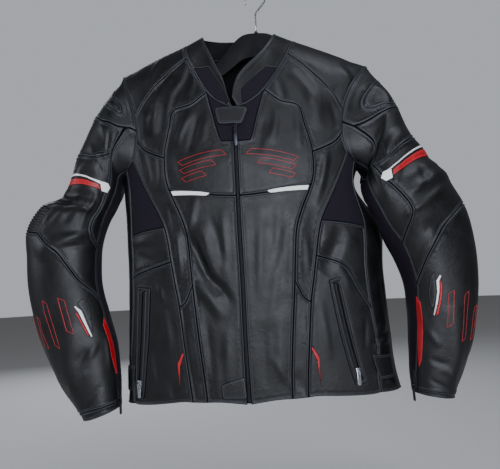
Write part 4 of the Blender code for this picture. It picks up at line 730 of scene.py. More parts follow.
# Cutting: seams in the chart, and the pieces between them.

SEAM_STEP = 4.0
PSI_STEP = 2.5


def stretches(points: Array, step: float = SEAM_STEP) -> list[Array]:
    """Points on a smooth curve through rows, one list for each stretch between two of them.

    Args:
        points: The rows that the curve goes through.
        step: Millimetres between points.

    Returns:
        Chart points of each stretch, both ends included.
    """
    out = []
    last = len(points) - 1
    for i in range(last):
        p0, p1, p2, p3 = (points[k] for k in (max(i - 1, 0), i, i + 1, min(i + 2, last)))
        count = max(1, math.ceil(np.linalg.norm(p2 - p1) / step))
        f = np.linspace(0, 1, count + 1)[:, None]
        out.append(0.5 * (2 * p1 + (p2 - p0) * f + (2 * p0 - 5 * p1 + 4 * p2 - p3) * f ** 2
                          + (3 * p1 - p0 - 3 * p2 + p3) * f ** 3))
    return out


def smooth(points: Array, first: int = 0, last: int | None = None, step: float = SEAM_STEP) -> Array:
    """A smooth run through rows, from one row to another, backward where first is past last.

    Args:
        points: The rows that the curve goes through.
        first: Row to begin at.
        last: Row to end at, where None is the last one.
        step: Millimetres between points.

    Returns:
        Chart points.
    """
    last = len(points) - 1 if last is None else last
    low, high = sorted((first, last))
    parts = stretches(points, step)[low:high]
    run = np.concatenate([parts[0]] + [part[1:] for part in parts[1:]])
    return run[::-1] if first > last else run


@dataclass(frozen=True)
class Seam:
    """A seam on the body that both of its neighbours are cut to."""

    rows: Rows
    start_psi: float | None = None
    end_psi: float | None = None

    def run(self, side: Side, start: float | None = None, stop: float | None = None,
            around: bool = False) -> Array:
        """Chart points from one height to another, where None is that end of the seam.

        Args:
            side: The wearer's side.
            start: Height of the row to begin at.
            stop: Height of the row to end at.
            around: Whether the chart is the one round the back.

        Returns:
            Chart points.
        """
        heights: list[float | None] = [height for _, height in self.rows]
        chart = list(to_over(self.rows, side.value))
        if self.start_psi is not None:
            chart.insert(0, armhole_chart(side, np.array([self.start_psi]))[0])
            heights.insert(0, None)
        if self.end_psi is not None:
            chart.append(armhole_chart(side, np.array([self.end_psi]))[0])
            heights.append(None)
        first = 0 if start is None else heights.index(start)
        last = len(chart) - 1 if stop is None else heights.index(stop)
        run = smooth(np.array(chart), first, last)
        return over_to_around(run) if around else run


def armhole_chart(side: Side, psi: Array, around: bool = False) -> Array:
    """Chart places of the armhole, in either body chart.

    Args:
        side: The wearer's side.
        psi: Degrees round the sleeve.
        around: Whether the chart is the one round the back.

    Returns:
        Chart points.
    """
    theta, down = armhole_places(side, psi)
    chart = np.stack((theta * ROUND_MM, down), axis=1)
    if around:
        return chart
    behind = np.abs(theta) > 90
    chart[behind, 0] = np.copysign(180 * ROUND_MM, chart[behind, 0]) - chart[behind, 0]
    chart[behind, 1] *= -1
    return chart


def psi_steps(start: float, stop: float) -> Array:
    """Angles from one psi to another at the shared step."""
    return np.linspace(start, stop, round(abs(stop - start) / PSI_STEP) + 1)


SEAMS = {
    "neckline": Seam(NECKLINE), "princess": Seam(PRINCESS), "zip": Seam(ZIP_EDGE),
    "neck_inset": Seam(NECK_INSET_SEAM), "chest": Seam(CHEST_SEAM),
    "piping": Seam(SIDE_PIPING, start_psi=PSI_PIPING), "shoulder": Seam(SHOULDER_SEAM, end_psi=PSI_SHOULDER),
    "yoke": Seam(YOKE_SEAM, end_psi=PSI_YOKE), "dart": Seam(DART_SEAM), "stretch_hem": Seam(STRETCH_HEM),
    "pocket_r": Seam(POCKET_SEAM[Side.RIGHT]), "pocket_l": Seam(POCKET_SEAM[Side.LEFT]),
    "side": Seam(SIDE_SEAM, start_psi=PSI_SIDE),
    "back_shoulder": Seam(BACK_SHOULDER_SEAM, end_psi=PSI_BACK_SHOULDER), "hem": Seam(FRONT_HEM)}


def join(*runs: Array) -> Array:
    """One closed outline from runs that meet end to end.

    Args:
        *runs: Runs of chart points that meet end to end.

    Returns:
        The outline, without doubled points.
    """
    outline = np.concatenate(runs)
    apart = np.linalg.norm(outline - np.roll(outline, 1, axis=0), axis=1)
    return outline[apart > 0.5]


def ring_area(loop: Array) -> float:
    """Area inside a closed outline."""
    return abs(np.sum(loop[:, 0] * np.roll(loop[:, 1], -1) - np.roll(loop[:, 0], -1) * loop[:, 1])) / 2


def inset(loop: Array, distance: float) -> Array:
    """A closed outline moved inward along its chart normals.

    Args:
        loop: A closed outline.
        distance: Millimetres.

    Returns:
        The moved outline.
    """
    before = loop - np.roll(loop, 1, axis=0)
    after = np.roll(loop, -1, axis=0) - loop
    before /= np.linalg.norm(before, axis=1)[:, None]
    after /= np.linalg.norm(after, axis=1)[:, None]
    x, y = loop[:, 0], loop[:, 1]
    turn = math.copysign(1, np.sum(x * np.roll(y, -1) - np.roll(x, -1) * y))
    side = np.stack((-before[:, 1], before[:, 0]), axis=1) * turn
    normal = np.stack((-before[:, 1] - after[:, 1], before[:, 0] + after[:, 0]), axis=1) * turn
    flat = np.linalg.norm(normal, axis=1) < 0.2
    normal[flat] = side[flat]
    normal /= np.linalg.norm(normal, axis=1)[:, None]
    slant = np.maximum(np.sum(normal * side, axis=1), 0.35)
    return loop + normal * (distance / slant)[:, None]


def edge_distance(points: Array, loops: Sequence[Array]) -> Array:
    """Distance of chart points to the nearest of some closed outlines.

    Args:
        points: Chart points.
        loops: Closed outlines.

    Returns:
        Millimetres, one for each point.
    """
    nearest = np.full(len(points), np.inf)
    for loop in loops:
        a = loop
        line = np.roll(loop, -1, axis=0) - a
        size = np.maximum(np.sum(line * line, axis=1), 1e-9)
        for start in range(0, len(points), 2000):
            part = points[start:start + 2000]
            away = part[:, None] - a[None]
            f = np.clip(np.sum(away * line[None], axis=2) / size, 0, 1)
            gap = away - line[None] * f[:, :, None]
            distance = np.sqrt(np.min(np.sum(gap * gap, axis=2), axis=1))
            nearest[start:start + 2000] = np.minimum(nearest[start:start + 2000], distance)
    return nearest


def there_and_back(path: Array) -> Array:
    """An open path as a closed outline without area, for distances."""
    return np.concatenate((path, path[-2:0:-1]))


def beside(path: Array, distance: float) -> Array:
    """An open path moved sideways.

    Args:
        path: Chart points of an open run.
        distance: Millimetres.

    Returns:
        The moved run.
    """
    line = np.gradient(path, axis=0)
    line /= np.linalg.norm(line, axis=1)[:, None]
    return path + np.stack((-line[:, 1], line[:, 0]), axis=1) * distance


def inside(points: Array, loop: Array) -> Array:
    """Which chart points are inside a closed outline.

    Args:
        points: Chart points.
        loop: A closed outline.

    Returns:
        One truth value for each point.
    """
    a = loop
    b = np.roll(loop, -1, axis=0)
    x, y = points[:, :1], points[:, 1:]
    over = (a[:, 1] > y) != (b[:, 1] > y)
    rise = np.where(np.abs(b[:, 1] - a[:, 1]) < 1e-12, 1e-12, b[:, 1] - a[:, 1])
    hit = over & (x < (b[:, 0] - a[:, 0]) * (y - a[:, 1]) / rise + a[:, 0])
    return np.sum(hit, axis=1) % 2 == 1


def offset_row(loops: Sequence[Array], distance: float, spacing: float) -> Array:
    """Points that run along inside the outlines at a distance, without those that a corner crowds out.

    Args:
        loops: Closed outlines: the outer one, then the holes.
        distance: Millimetres.
        spacing: Smallest distance between its points.

    Returns:
        Chart points.
    """
    rows = []
    for k, loop in enumerate(loops):
        moved = inset(loop, distance if k == 0 else -distance)
        good = edge_distance(moved, loops) > distance * 0.93
        kept: list[Array] = []
        for point, fits in zip(moved, good):
            if fits and (not kept or np.linalg.norm(point - kept[-1]) > spacing):
                kept.append(point)
        rows += kept
    return np.array(rows).reshape(-1, 2)


def corners(rows: Array, step: float = SEAM_STEP, rounding: float = 2.0) -> Array:
    """A closed outline from corners, each rounded off a little.

    Args:
        rows: The corners.
        step: Millimetres between points.
        rounding: Millimetres cut off each corner.

    Returns:
        The outline.
    """
    points = []
    count = len(rows)
    for i in range(count):
        a, b, c = rows[i - 1], rows[i], rows[(i + 1) % count]
        to_a = (a - b) / np.linalg.norm(a - b)
        to_c = (c - b) / np.linalg.norm(c - b)
        cut_a = min(rounding, np.linalg.norm(a - b) * 0.4)
        cut_c = min(rounding, np.linalg.norm(c - b) * 0.4)
        for f in (0, 0.33, 0.67, 1):
            points.append((1 - f) ** 2 * (b + to_a * cut_a) + 2 * f * (1 - f) * b
                          + f ** 2 * (b + to_c * cut_c))
        start = b + to_c * cut_c
        stop = c - to_c * min(rounding, np.linalg.norm(c - b) * 0.4)
        steps = max(1, math.ceil(np.linalg.norm(stop - start) / step))
        points += [start + (stop - start) * k / steps for k in range(1, steps)]
    return np.array(points)


# Finishes.

def linear(code: str) -> tuple[float, float, float, float]:
    """Linear colour of an sRGB hex value.

    Args:
        code: A hash and six hex digits.

    Returns:
        Red, green, blue and alpha.
    """
    out = []
    for k in (1, 3, 5):
        c = int(code[k:k + 2], 16) / 255
        out.append(c / 12.92 if c <= 0.04045 else ((c + 0.055) / 1.055) ** 2.4)
    return (*out, 1.0)


def add_node(tree: Tree, kind: str, settings: dict | None = None,
             inputs: dict | None = None) -> bpy.types.Node:
    """Adds a node with its settings, and with values or links for its inputs.

    Args:
        tree: The material's tree.
        kind: The node's type.
        settings: Properties of the node.
        inputs: By name or index, a value or another node's output socket.

    Returns:
        The node.
    """
    made = tree.nodes.new(kind)
    for key, value in (settings or {}).items():
        setattr(made, key, value)
    for key, value in (inputs or {}).items():
        socket = made.inputs[key]
        if isinstance(value, Socket):
            tree.links.new(value, socket)
        else:
            socket.default_value = value
    return made


def new_tree(name: str, sockets: dict) -> tuple[bpy.types.Material, Tree, bpy.types.Node]:
    """A material with its shader, whose uniform sockets are set directly.

    Args:
        name: The material's name.
        sockets: Values of the shader's sockets.

    Returns:
        The material, its tree and its shader.
    """
    material = bpy.data.materials.new(name)
    material.use_nodes = True
    tree = material.node_tree
    shader = tree.nodes["Principled BSDF"]
    for key, value in sockets.items():
        shader.inputs[key].default_value = value
    return material, tree, shader


def ramp(tree: Tree, value: Socket, low: float, high: float, to_low: float,
         to_high: float) -> Socket:
    """A value brought from one range into another.

    Args:
        tree: The material's tree.
        value: The value.
        low: Low end of its range.
        high: High end of its range.
        to_low: Low end of the new range.
        to_high: High end of the new range.

    Returns:
        The result's socket.
    """
    return add_node(tree, "ShaderNodeMapRange", inputs={
        "Value": value, "From Min": low, "From Max": high, "To Min": to_low, "To Max": to_high}).outputs[0]


def stops(tree: Tree, value: Socket, rows: Rows) -> Socket:
    """A share that follows stops: position, share.

    Args:
        tree: The material's tree.
        value: What the stops are read at.
        rows: Position and share, from 0 to 1.

    Returns:
        The share's socket.
    """
    made = add_node(tree, "ShaderNodeValToRGB", inputs={"Fac": value})
    band = made.color_ramp
    while len(band.elements) < len(rows):
        band.elements.new(1.0)
    for element, (place, share) in zip(band.elements, rows):
        element.position = place
        element.color = (share, share, share, 1)
    return made.outputs[0]


def mix_colour(tree: Tree, share: Socket, a, b) -> Socket:
    """Two colours mixed by a share.

    Args:
        tree: The material's tree.
        share: Share of the second colour.
        a: First colour, or its socket.
        b: Second colour, or its socket.

    Returns:
        The result's socket.
    """
    made = add_node(tree, "ShaderNodeMix", {"data_type": "RGBA"})
    tree.links.new(share, made.inputs[0])
    for socket, value in ((made.inputs[6], a), (made.inputs[7], b)):
        if isinstance(value, Socket):
            tree.links.new(value, socket)
        else:
            socket.default_value = value
    return made.outputs[2]


@dataclass(frozen=True)
class LeatherFinish:
    """Drum-dyed cowhide with a pigmented, lightly waxed face: a fine pebble and a soft, broad sheen."""

    name: str
    colour: str
    worn: str              # where the hide is rubbed
    edge: str              # painted highlight, with some wear, on the rolled edge beside a seam
    roughness: float = 0.46
    pebble: float = 1.5    # mm between grains; a real hide's 0.7 mm is too fine to show
    depth: float = 0.16
    wrinkle: float = 15.0  # mm between the small creases of use
    wrinkle_depth: float = 0.25

    def build(self) -> bpy.types.Material:
        """The material.

        Returns:
            The material.
        """
        material, tree, shader = new_tree(self.name, {"Specular IOR Level": 0.37, "Coat Weight": 0.06,
                                                      "Coat Roughness": 0.35})
        place = add_node(tree, "ShaderNodeTexCoord").outputs["Object"]
        grains = add_node(tree, "ShaderNodeTexVoronoi", {"feature": "SMOOTH_F1"},
                          {"Vector": place, "Scale": 1 / (self.pebble * MM),
                           "Smoothness": 0.6}).outputs["Distance"]
        hide = add_node(tree, "ShaderNodeTexNoise", None,
                        {"Vector": place, "Scale": 1 / (28 * MM), "Detail": 4.0, "Roughness": 0.6}).outputs[0]
        creases = add_node(tree, "ShaderNodeTexNoise", None,
                           {"Vector": place, "Scale": 1 / (self.wrinkle * MM), "Detail": 2.0,
                            "Distortion": 1.4}).outputs[0]
        seam = add_node(tree, "ShaderNodeAttribute", {"attribute_name": "seam"}).outputs["Fac"]
        base = mix_colour(tree, ramp(tree, hide, 0.35, 0.65, 0.0, 0.3), linear(self.colour),
                          linear(self.worn))
        # A lighter band about 1 to 3.6 mm from each seam: painted highlight on the rolled edge, with some
        # wear.
        rolled_wear_and_highlight = mix_colour(tree, stops(tree, seam, ((0.1, 0), (0.17, 0.75), (0.28, 0.5), (0.4, 0))), base,
                            linear(self.edge))
        # Near black within about 1 mm of each seam: painted shade in the seam's groove.
        seam_groove_shade = stops(tree, seam, ((0.03, 0.95), (0.11, 0)))
        tree.links.new(mix_colour(tree, seam_groove_shade, rolled_wear_and_highlight, linear("#030304")),
                       shader.inputs["Base Color"])
        tree.links.new(ramp(tree, hide, 0.3, 0.7, self.roughness - 0.06, self.roughness + 0.08),
                       shader.inputs["Roughness"])
        fine = add_node(tree, "ShaderNodeBump", None,
                        {"Strength": self.depth, "Distance": 0.4 * MM, "Height": grains}).outputs[0]
        soft = add_node(tree, "ShaderNodeBump", None,
                        {"Strength": self.wrinkle_depth, "Distance": 1.6 * MM, "Height": creases,
                         "Normal": fine}).outputs[0]
        tree.links.new(soft, shader.inputs["Normal"])
        return material


@dataclass(frozen=True)
class StretchFinish:
    """Woven stretch nylon: a matte face with a fine rib that the chart's UVs carry."""

    name: str
    colour: str
    light: str
    rib: float = 2.4       # mm between ribs; the real 0.8 mm is too fine to show
    depth: float = 0.5
    roughness: float = 0.82
    sheen: float = 0.25

    def build(self) -> bpy.types.Material:
        """The material.

        Returns:
            The material.
        """
        material, tree, shader = new_tree(self.name, {"IOR": 1.45, "Sheen Weight": self.sheen,
                                                      "Sheen Roughness": 0.45, "Roughness": self.roughness,
                                                      "Specular IOR Level": 0.3})
        shader.inputs["Sheen Tint"].default_value = linear(self.light)
        flat = add_node(tree, "ShaderNodeUVMap", {"uv_map": "cut"}).outputs[0]
        waves = [add_node(tree, "ShaderNodeTexWave", {"bands_direction": way},
                          {"Vector": flat, "Scale": size / (self.rib * MM) / 20, "Distortion": 0.6,
                           "Detail": 1.0}).outputs["Fac"]
                 for way, size in (("X", 2 * math.pi), ("Y", 4 * math.pi))]
        weave = add_node(tree, "ShaderNodeMath", {"operation": "MULTIPLY"},
                         {0: waves[0], 1: waves[1]}).outputs[0]
        cloud = add_node(tree, "ShaderNodeTexNoise", None,
                         {"Vector": flat, "Scale": 1 / (22 * MM), "Detail": 3.0}).outputs[0]
        tree.links.new(mix_colour(tree, ramp(tree, weave, 0.0, 0.9, 0.0, 0.5),
                                  mix_colour(tree, cloud, linear(self.colour), linear(self.light)),
                                  linear(self.light)), shader.inputs["Base Color"])
        bump = add_node(tree, "ShaderNodeBump", None,
                        {"Strength": self.depth, "Distance": 0.5 * MM, "Height": weave}).outputs[0]
        tree.links.new(bump, shader.inputs["Normal"])
        return material


@dataclass(frozen=True)
class HardFinish:
    """A moulded, cast or drawn hard surface, with faint handling marks."""

    name: str
    colour: str
    roughness: float
    metallic: float = 0.0
    mark: float = 6.0      # mm between marks
    depth: float = 0.12
    coat: float = 0.0
    specular: float = 0.5

    def build(self) -> bpy.types.Material:
        """The material.

        Returns:
            The material.
        """
        material, tree, shader = new_tree(self.name, {"Metallic": self.metallic, "Coat Weight": self.coat,
                                                      "Coat Roughness": 0.25,
                                                      "Specular IOR Level": self.specular})
        place = add_node(tree, "ShaderNodeTexCoord").outputs["Object"]
        marks = add_node(tree, "ShaderNodeTexNoise", None,
                         {"Vector": place, "Scale": 1 / (self.mark * MM), "Detail": 5.0}).outputs[0]
        dark = tuple(c * 0.72 for c in linear(self.colour)[:3]) + (1.0,)
        tree.links.new(mix_colour(tree, marks, dark, linear(self.colour)), shader.inputs["Base Color"])
        tree.links.new(ramp(tree, marks, 0.3, 0.7, self.roughness - 0.05, self.roughness + 0.1),
                       shader.inputs["Roughness"])
        bump = add_node(tree, "ShaderNodeBump", None,
                        {"Strength": self.depth, "Distance": 0.2 * MM, "Height": marks}).outputs[0]
        tree.links.new(bump, shader.inputs["Normal"])
        return material


class Finish(Enum):
    """The jacket's and the hanger's finishes."""

    # Each hide's third colour is the painted highlight, with some wear, on the rolled edge beside its seams.
    # Drum-dyed and pigmented hide: near black, with a broad, soft sheen that breaks up over its pebble.
    LEATHER = LeatherFinish("cowhide black", "#060708", "#131417", "#36383d")
    TAB = LeatherFinish("cowhide black split", "#08090a", "#121316", "#34363c", roughness=0.55, wrinkle=16)
    # The same hide under an opaque pigment coat, so its colour is flat and its creases are shallow.
    WHITE = LeatherFinish("cowhide white pigment", "#f0f0ee", "#fafaf8", "#fafaf8", wrinkle_depth=0.1)
    RED = LeatherFinish("cowhide red pigment", "#930711", "#b01420", "#c8202c", wrinkle_depth=0.2)
    # Knit-backed woven nylon: matte, a shade warmer than the leather, lighter at grazing angles.
    STRETCH = StretchFinish("stretch nylon aubergine", "#0c0810", "#17111e", sheen=0.08)
    LINING = StretchFinish("mesh lining black", "#050506", "#101012", rib=3.2, roughness=0.9, sheen=0.05)
    TAPE = StretchFinish("zip tape polyester", "#08080a", "#141417", rib=2.0, roughness=0.85, sheen=0.1)
    # Bonded black thread lies proud in its holes; its mid grey is a painted highlight for the thin line of
    # light that it catches along every seam.
    THREAD = HardFinish("bonded nylon thread black", "#3f4147", 0.4, mark=1.0)
    RED_THREAD = HardFinish("rayon thread red", "#b01722", 0.42, mark=1.0, coat=0.15)
    # Moulded acetal teeth, and cast sliders plated dark or bright.
    TEETH = HardFinish("zip teeth acetal black", "#111114", 0.32, mark=3.0)
    PULL = HardFinish("zip slider nickel black", "#3a3b40", 0.3, metallic=1.0)
    BRIGHT = HardFinish("zip slider nickel bright", "#b9bcc2", 0.24, metallic=1.0)
    # Injection-moulded polypropylene, spark-textured: dark and almost without gloss.
    HANGER = HardFinish("polypropylene hanger moulded", "#09070b", 0.62, mark=14.0,
                        specular=0.22)
    # Drawn wire, zinc plated: bright lines along the hook.
    STEEL = HardFinish("steel wire zinc bright", "#c3c5c8", 0.24, metallic=1.0, mark=2.0)
    BEAD = HardFinish("polypropylene bead moulded", "#0c0c0e", 0.35)


class Palette:
    """Materials, made once each."""

    made: dict[Finish, bpy.types.Material] = {}

    @classmethod
    def get(cls, finish: Finish) -> bpy.types.Material:
        """The material of a finish.

        Args:
            finish: The finish.

        Returns:
            The material.
        """
        if finish not in cls.made:
            cls.made[finish] = finish.value.build()
        return cls.made[finish]


# Meshes.

def make_object(name: str, mesh: bpy.types.Mesh, finishes: Sequence[Finish], body: str = JACKET,
                nodes: Sequence[str] = ()) -> bpy.types.Object:
    """An object that rides on a body, dressed in its finishes.

    Args:
        name: The piece.
        mesh: Its mesh, in metres and in place.
        finishes: Its materials, in the order of its material slots.
        body: The CAD body that carries it.
        nodes: CAD nodes that it stands for.

    Returns:
        The object.
    """
    for finish in finishes:
        mesh.materials.append(Palette.get(finish))
    mesh.polygons.foreach_set("use_smooth", [True] * len(mesh.polygons))
    obj = bpy.data.objects.new(name, mesh)
    bpy.context.scene.collection.objects.link(obj)
    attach(obj, body)
    if nodes:
        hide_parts(*nodes)
    LOG.info("%s: %d faces", name, len(mesh.polygons))
    return obj


PUFF = ((0, -1.6), (0.7, -0.5), (1.6, 0.8), (2.6, 0.95), (3.6, 0.3), (5.0, -0.4), (7.5, 0.25), (11, 0))
FLAT = ((0, -1.4), (0.7, -0.9), (1.6, 0), (2.6, 0.2), (5, 0))
PLAIN = ((0, -0.5), (0.7, -0.1), (1.5, 0))
CUT_RINGS = (0.7, 1.6, 2.6, 3.6, 5.0, 7.5)     # mm in from a seam, where its profile is laid
SEAM_REACH = 9.0       # mm from a seam over which its attribute grows from 0 to 1
STITCH_IN = 5.0        # mm from a seam to its row of stitches
STITCH_PITCH = 3.9
STITCH_SUNK = 0.1
STITCH_HALF = (1.6, 0.5, 0.45)
WALL = 1.6
LEAST_SHEET = 0.015    # m: narrower trim is bonded to the leather and isn't a sheet
LEAST_FILL = 0.31      # share of its rectangle below which a trim is too thin and bent to be one


@dataclass
class Cloth:
    """A cut piece: its outline in a chart, the form that it lies on, and how its edges are sewn."""

    name: str
    form: Form
    outline: Array
    finish: Finish
    nodes: tuple[str, ...] = ()            # CAD nodes that it stands for
    holes: tuple[Array, ...] = ()
    grid: float = 5.0                      # mm between the points of its field
    rings: tuple[float, ...] = CUT_RINGS
    edge: Rows = PUFF                      # mm in from the seam, mm off the form
    lift: float = 0.0
    thick: float = WALL
    stitched: bool = True
    lined: bool = True
    lines: tuple[Array, ...] = ()          # seams drawn across it

    def across(self) -> list[Array]:
        """The drawn seams, cut off just short of the edges.

        Returns:
            Chart points of each seam.
        """
        kept = []
        for line in self.lines:
            path = resample(line, SEAM_STEP)
            good = inside(path, self.outline) & (edge_distance(path, [self.outline]) > 1.2)
            if good.sum() > 3:
                kept.append(path[good])
        return kept

    def chart(self) -> tuple[list, list]:
        """Chart points and triangles of the piece.

        Returns:
            Vertices of the chart, and the vertices of each triangle.
        """
        loops = [self.outline] + list(self.holes)
        lines = self.across()
        rows = [row for row in (offset_row(loops, d, max(2.4, d * 0.5)) for d in self.rings) if len(row)]
        closed = [there_and_back(line) for line in lines]
        if closed:
            rows = [row[edge_distance(row, closed) > 1.0] for row in rows]
            for distance in self.rings[:5]:
                for line in lines:
                    for way in (-1, 1):
                        row = beside(line, way * distance)
                        good = inside(row, loops[0]) & (edge_distance(row, loops) > max(distance, 1.0))
                        good &= edge_distance(row, closed) > distance * 0.93
                        rows.append(row[good])
        low = self.outline.min(axis=0)
        high = self.outline.max(axis=0)
        x, y = np.meshgrid(np.arange(low[0], high[0], self.grid),
                           np.arange(low[1], high[1], self.grid * 0.87))
        x = x + np.where(np.arange(len(y)) % 2, self.grid / 2, 0)[:, None]
        field = np.stack((x.ravel(), y.ravel()), axis=1)
        keep = inside(field, loops[0])
        for hole in loops[1:]:
            keep &= ~inside(field, hole)
        field = field[keep]
        if len(field):
            field = field[edge_distance(field, loops) > self.rings[-1] + self.grid * 0.45]
        if len(field) and closed:
            field = field[edge_distance(field, closed) > self.rings[4] + self.grid * 0.45]
        points = np.concatenate(loops + lines + rows + [field])
        edges = []
        start = 0
        for loop in loops:
            edges += [(start + i, start + (i + 1) % len(loop)) for i in range(len(loop))]
            start += len(loop)
        for line in lines:
            edges += [(start + i, start + i + 1) for i in range(len(line) - 1)]
            start += len(line)
        verts, _, faces, _, _, _ = delaunay_2d_cdt([Vector(p) for p in points], edges, [], 1, 1e-4)
        if len(loops) > 1:
            centres = np.array([sum((verts[i] for i in f), Vector((0, 0))) / len(f) for f in faces])
            for hole in loops[1:]:
                out = inside(centres, hole)
                faces = [f for f, drop in zip(faces, out) if not drop]
                centres = centres[~out]
        return verts, faces

    def build(self) -> bpy.types.Object:
        """The piece as a shell.

        Returns:
            The object.
        """
        verts, faces = self.chart()
        bm = bmesh.new()
        made = [bm.verts.new((v.x, v.y, 0)) for v in verts]
        for face in faces:
            order = face[::-1] if self.form.outward > 0 else face
            bm.faces.new([made[i] for i in order])
        bmesh.ops.join_triangles(bm, faces=bm.faces, angle_face_threshold=0.1, angle_shape_threshold=0.5)
        loose = [v for v in bm.verts if not v.link_faces]
        bmesh.ops.delete(bm, geom=loose, context="VERTS")
        mesh = bpy.data.meshes.new(self.name)
        bm.to_mesh(mesh)
        bm.free()
        flat = np.zeros(len(mesh.vertices) * 3)
        mesh.vertices.foreach_get("co", flat)
        chart = flat.reshape(-1, 3)[:, :2]
        drawn = [there_and_back(line) for line in self.across()]
        distance = edge_distance(chart, [self.outline, *self.holes, *drawn])
        knots = np.array(self.edge, float)
        lift = self.lift + np.interp(distance, knots[:, 0], knots[:, 1])
        places = self.form.place(chart, lift) * MM
        mesh.vertices.foreach_set("co", places.ravel())
        seam = mesh.attributes.new("seam", "FLOAT", "POINT")
        seam.data.foreach_set("value", np.clip(distance / SEAM_REACH, 0, 1))
        corner = np.zeros(len(mesh.loops), int)
        mesh.loops.foreach_get("vertex_index", corner)
        mesh.uv_layers.new(name="cut").uv.foreach_set("vector", (chart[corner] * MM).ravel())
        mesh.update()
        area = sum(polygon.area for polygon in mesh.polygons)
        finishes = [self.finish, Finish.LINING if self.lined else self.finish]
        obj = make_object(self.name, mesh, finishes, JACKET,
                          self.nodes)
        shell = obj.modifiers.new("thickness", "SOLIDIFY")
        shell.thickness = self.thick * MM
        shell.offset = -1
        shell.material_offset = 1
        self.declare(area)
        if self.stitched:
            STITCHES.follow(self)
        return obj

    def declare(self, area: float) -> None:
        """Works out the upright rectangle, along its own length, that holds the piece, and keeps nothing of
        it.

        Args:
            area: Its outer face in square metres.
        """
        away = self.outline - self.outline.mean(axis=0)
        _, turn = np.linalg.eigh(away.T @ away)
        turned = away @ turn
        flat = ring_area(self.outline) - sum(ring_area(hole) for hole in self.holes)
        stretch = math.sqrt(area / (flat * MM * MM))
        width, length = (turned.max(axis=0) - turned.min(axis=0)) * MM * stretch
        width, length = round(width, 4), round(length, 4)
        if min(width, length) < LEAST_SHEET or area < LEAST_FILL * width * length:
            return


def tile(name: str, template: bpy.types.Mesh, places: Array, finish: Finish, body: str = JACKET,
         nodes: Sequence[str] = ()) -> bpy.types.Object:
    """One joined mesh of many copies of a small template.

    Args:
        name: The piece.
        template: A small mesh, in metres.
        places: One 3 by 4 matrix for each copy, in metres.
        finish: Its finish.
        body: The CAD body that carries it.
        nodes: CAD nodes that it stands for.

    Returns:
        The object.
    """
    count = len(template.vertices)
    points = np.zeros(count * 3)
    template.vertices.foreach_get("co", points)
    points = np.concatenate((points.reshape(-1, 3), np.ones((count, 1))), axis=1)
    everything = np.einsum("nij,kj->nki", places, points).reshape(-1, 3)
    faces = [tuple(polygon.vertices) for polygon in template.polygons]
    mesh = bpy.data.meshes.new(name)
    mesh.from_pydata(everything.tolist(), [],
                     [tuple(i + k * count for i in face) for k in range(len(places)) for face in faces])
    mesh.update()
    return make_object(name, mesh, [finish], body, nodes)


def frames(at: Array, along: Array, out: Array) -> Array:
    """Matrices that put X along, Z outward and the origin at each place.

    Args:
        at: Places.
        along: Directions along.
        out: Directions outward.

    Returns:
        One 3 by 4 matrix for each place.
    """
    x = along / np.linalg.norm(along, axis=1)[:, None]
    z = out - x * np.sum(out * x, axis=1)[:, None]
    z /= np.linalg.norm(z, axis=1)[:, None]
    return np.stack((x, np.cross(z, x), z, at), axis=2)


def lay_grid(points: Array, closed: bool = False, capped: bool = False) -> BMesh:
    """A grid laid through rows of places.

    Args:
        points: Rows by columns by three, in mm.
        closed: Whether the last column meets the first one.
        capped: Whether the ends of a closed grid are filled.

    Returns:
        The mesh, in metres.
    """
    rows, columns = points.shape[:2]
    if closed:
        points = np.concatenate((points, points[:, :1]), axis=1)
        columns += 1
    bm = bmesh.new()
    bmesh.ops.create_grid(bm, x_segments=columns - 1, y_segments=rows - 1, size=1)
    for vert, place in zip(bm.verts, points.reshape(-1, 3) * MM):
        vert.co = place
    if closed:
        bmesh.ops.remove_doubles(bm, verts=bm.verts, dist=1e-7)
    if capped:
        bmesh.ops.holes_fill(bm, edges=[e for e in bm.edges if e.is_boundary], sides=0)
    bmesh.ops.recalc_face_normals(bm, faces=bm.faces)
    return bm


def to_mesh(name: str, bm: BMesh) -> bpy.types.Mesh:
    """A mesh from a bmesh, which is freed.

    Args:
        name: The mesh's name.
        bm: The bmesh.

    Returns:
        The mesh.
    """
    mesh = bpy.data.meshes.new(name)
    bm.to_mesh(mesh)
    bm.free()
    return mesh


def merge(*parts: BMesh) -> BMesh:
    """Several bmeshes as one.

    Args:
        *parts: The bmeshes. The first one takes up the others, which are freed.

    Returns:
        The first bmesh.
    """
    target = parts[0]
    for part in parts[1:]:
        mesh = to_mesh("part", part)
        target.from_mesh(mesh)
        bpy.data.meshes.remove(mesh)
    return target


def strip_points(form: Form, path: Array, profile: Rows) -> Array:
    """Rows of places of a profile carried along a chart path: (across, lift) in mm.

    Args:
        form: What it lies on.
        path: Chart points of an open run.
        profile: Rows of millimetres across the path and off the form.

    Returns:
        Rows by columns by three, in mm.
    """
    line = np.gradient(path, axis=0)
    line /= np.linalg.norm(line, axis=1)[:, None]
    across = np.stack((-line[:, 1], line[:, 0]), axis=1)
    columns = [form.place(path + across * a, lift) for a, lift in profile]
    return np.stack(columns, axis=1)


def round_profile(width: float, height: float, lift: float, sides: int = 8) -> list[tuple[float, float]]:
    """An oval section of a cord or ridge.

    Args:
        width: Its width.
        height: Its height.
        lift: Its middle off the form.
        sides: Its corners.

    Returns:
        Rows of across and lift, in mm.
    """
    angles = [2 * math.pi * k / sides for k in range(sides)]
    return [(math.cos(a) * width / 2, lift + math.sin(a) * height / 2) for a in angles]


def resample(path: Array, pitch: float) -> Array:
    """Points at an even pitch along a path.

    Args:
        path: Chart points of an open run.
        pitch: Millimetres between points, fitted to the length.

    Returns:
        Chart points.
    """
    steps = np.concatenate(([0], np.cumsum(np.linalg.norm(np.diff(path, axis=0), axis=1))))
    count = max(2, round(steps[-1] / pitch) + 1)
    at = np.linspace(0, steps[-1], count)
    return np.stack([np.interp(at, steps, path[:, k]) for k in range(2)], axis=1)


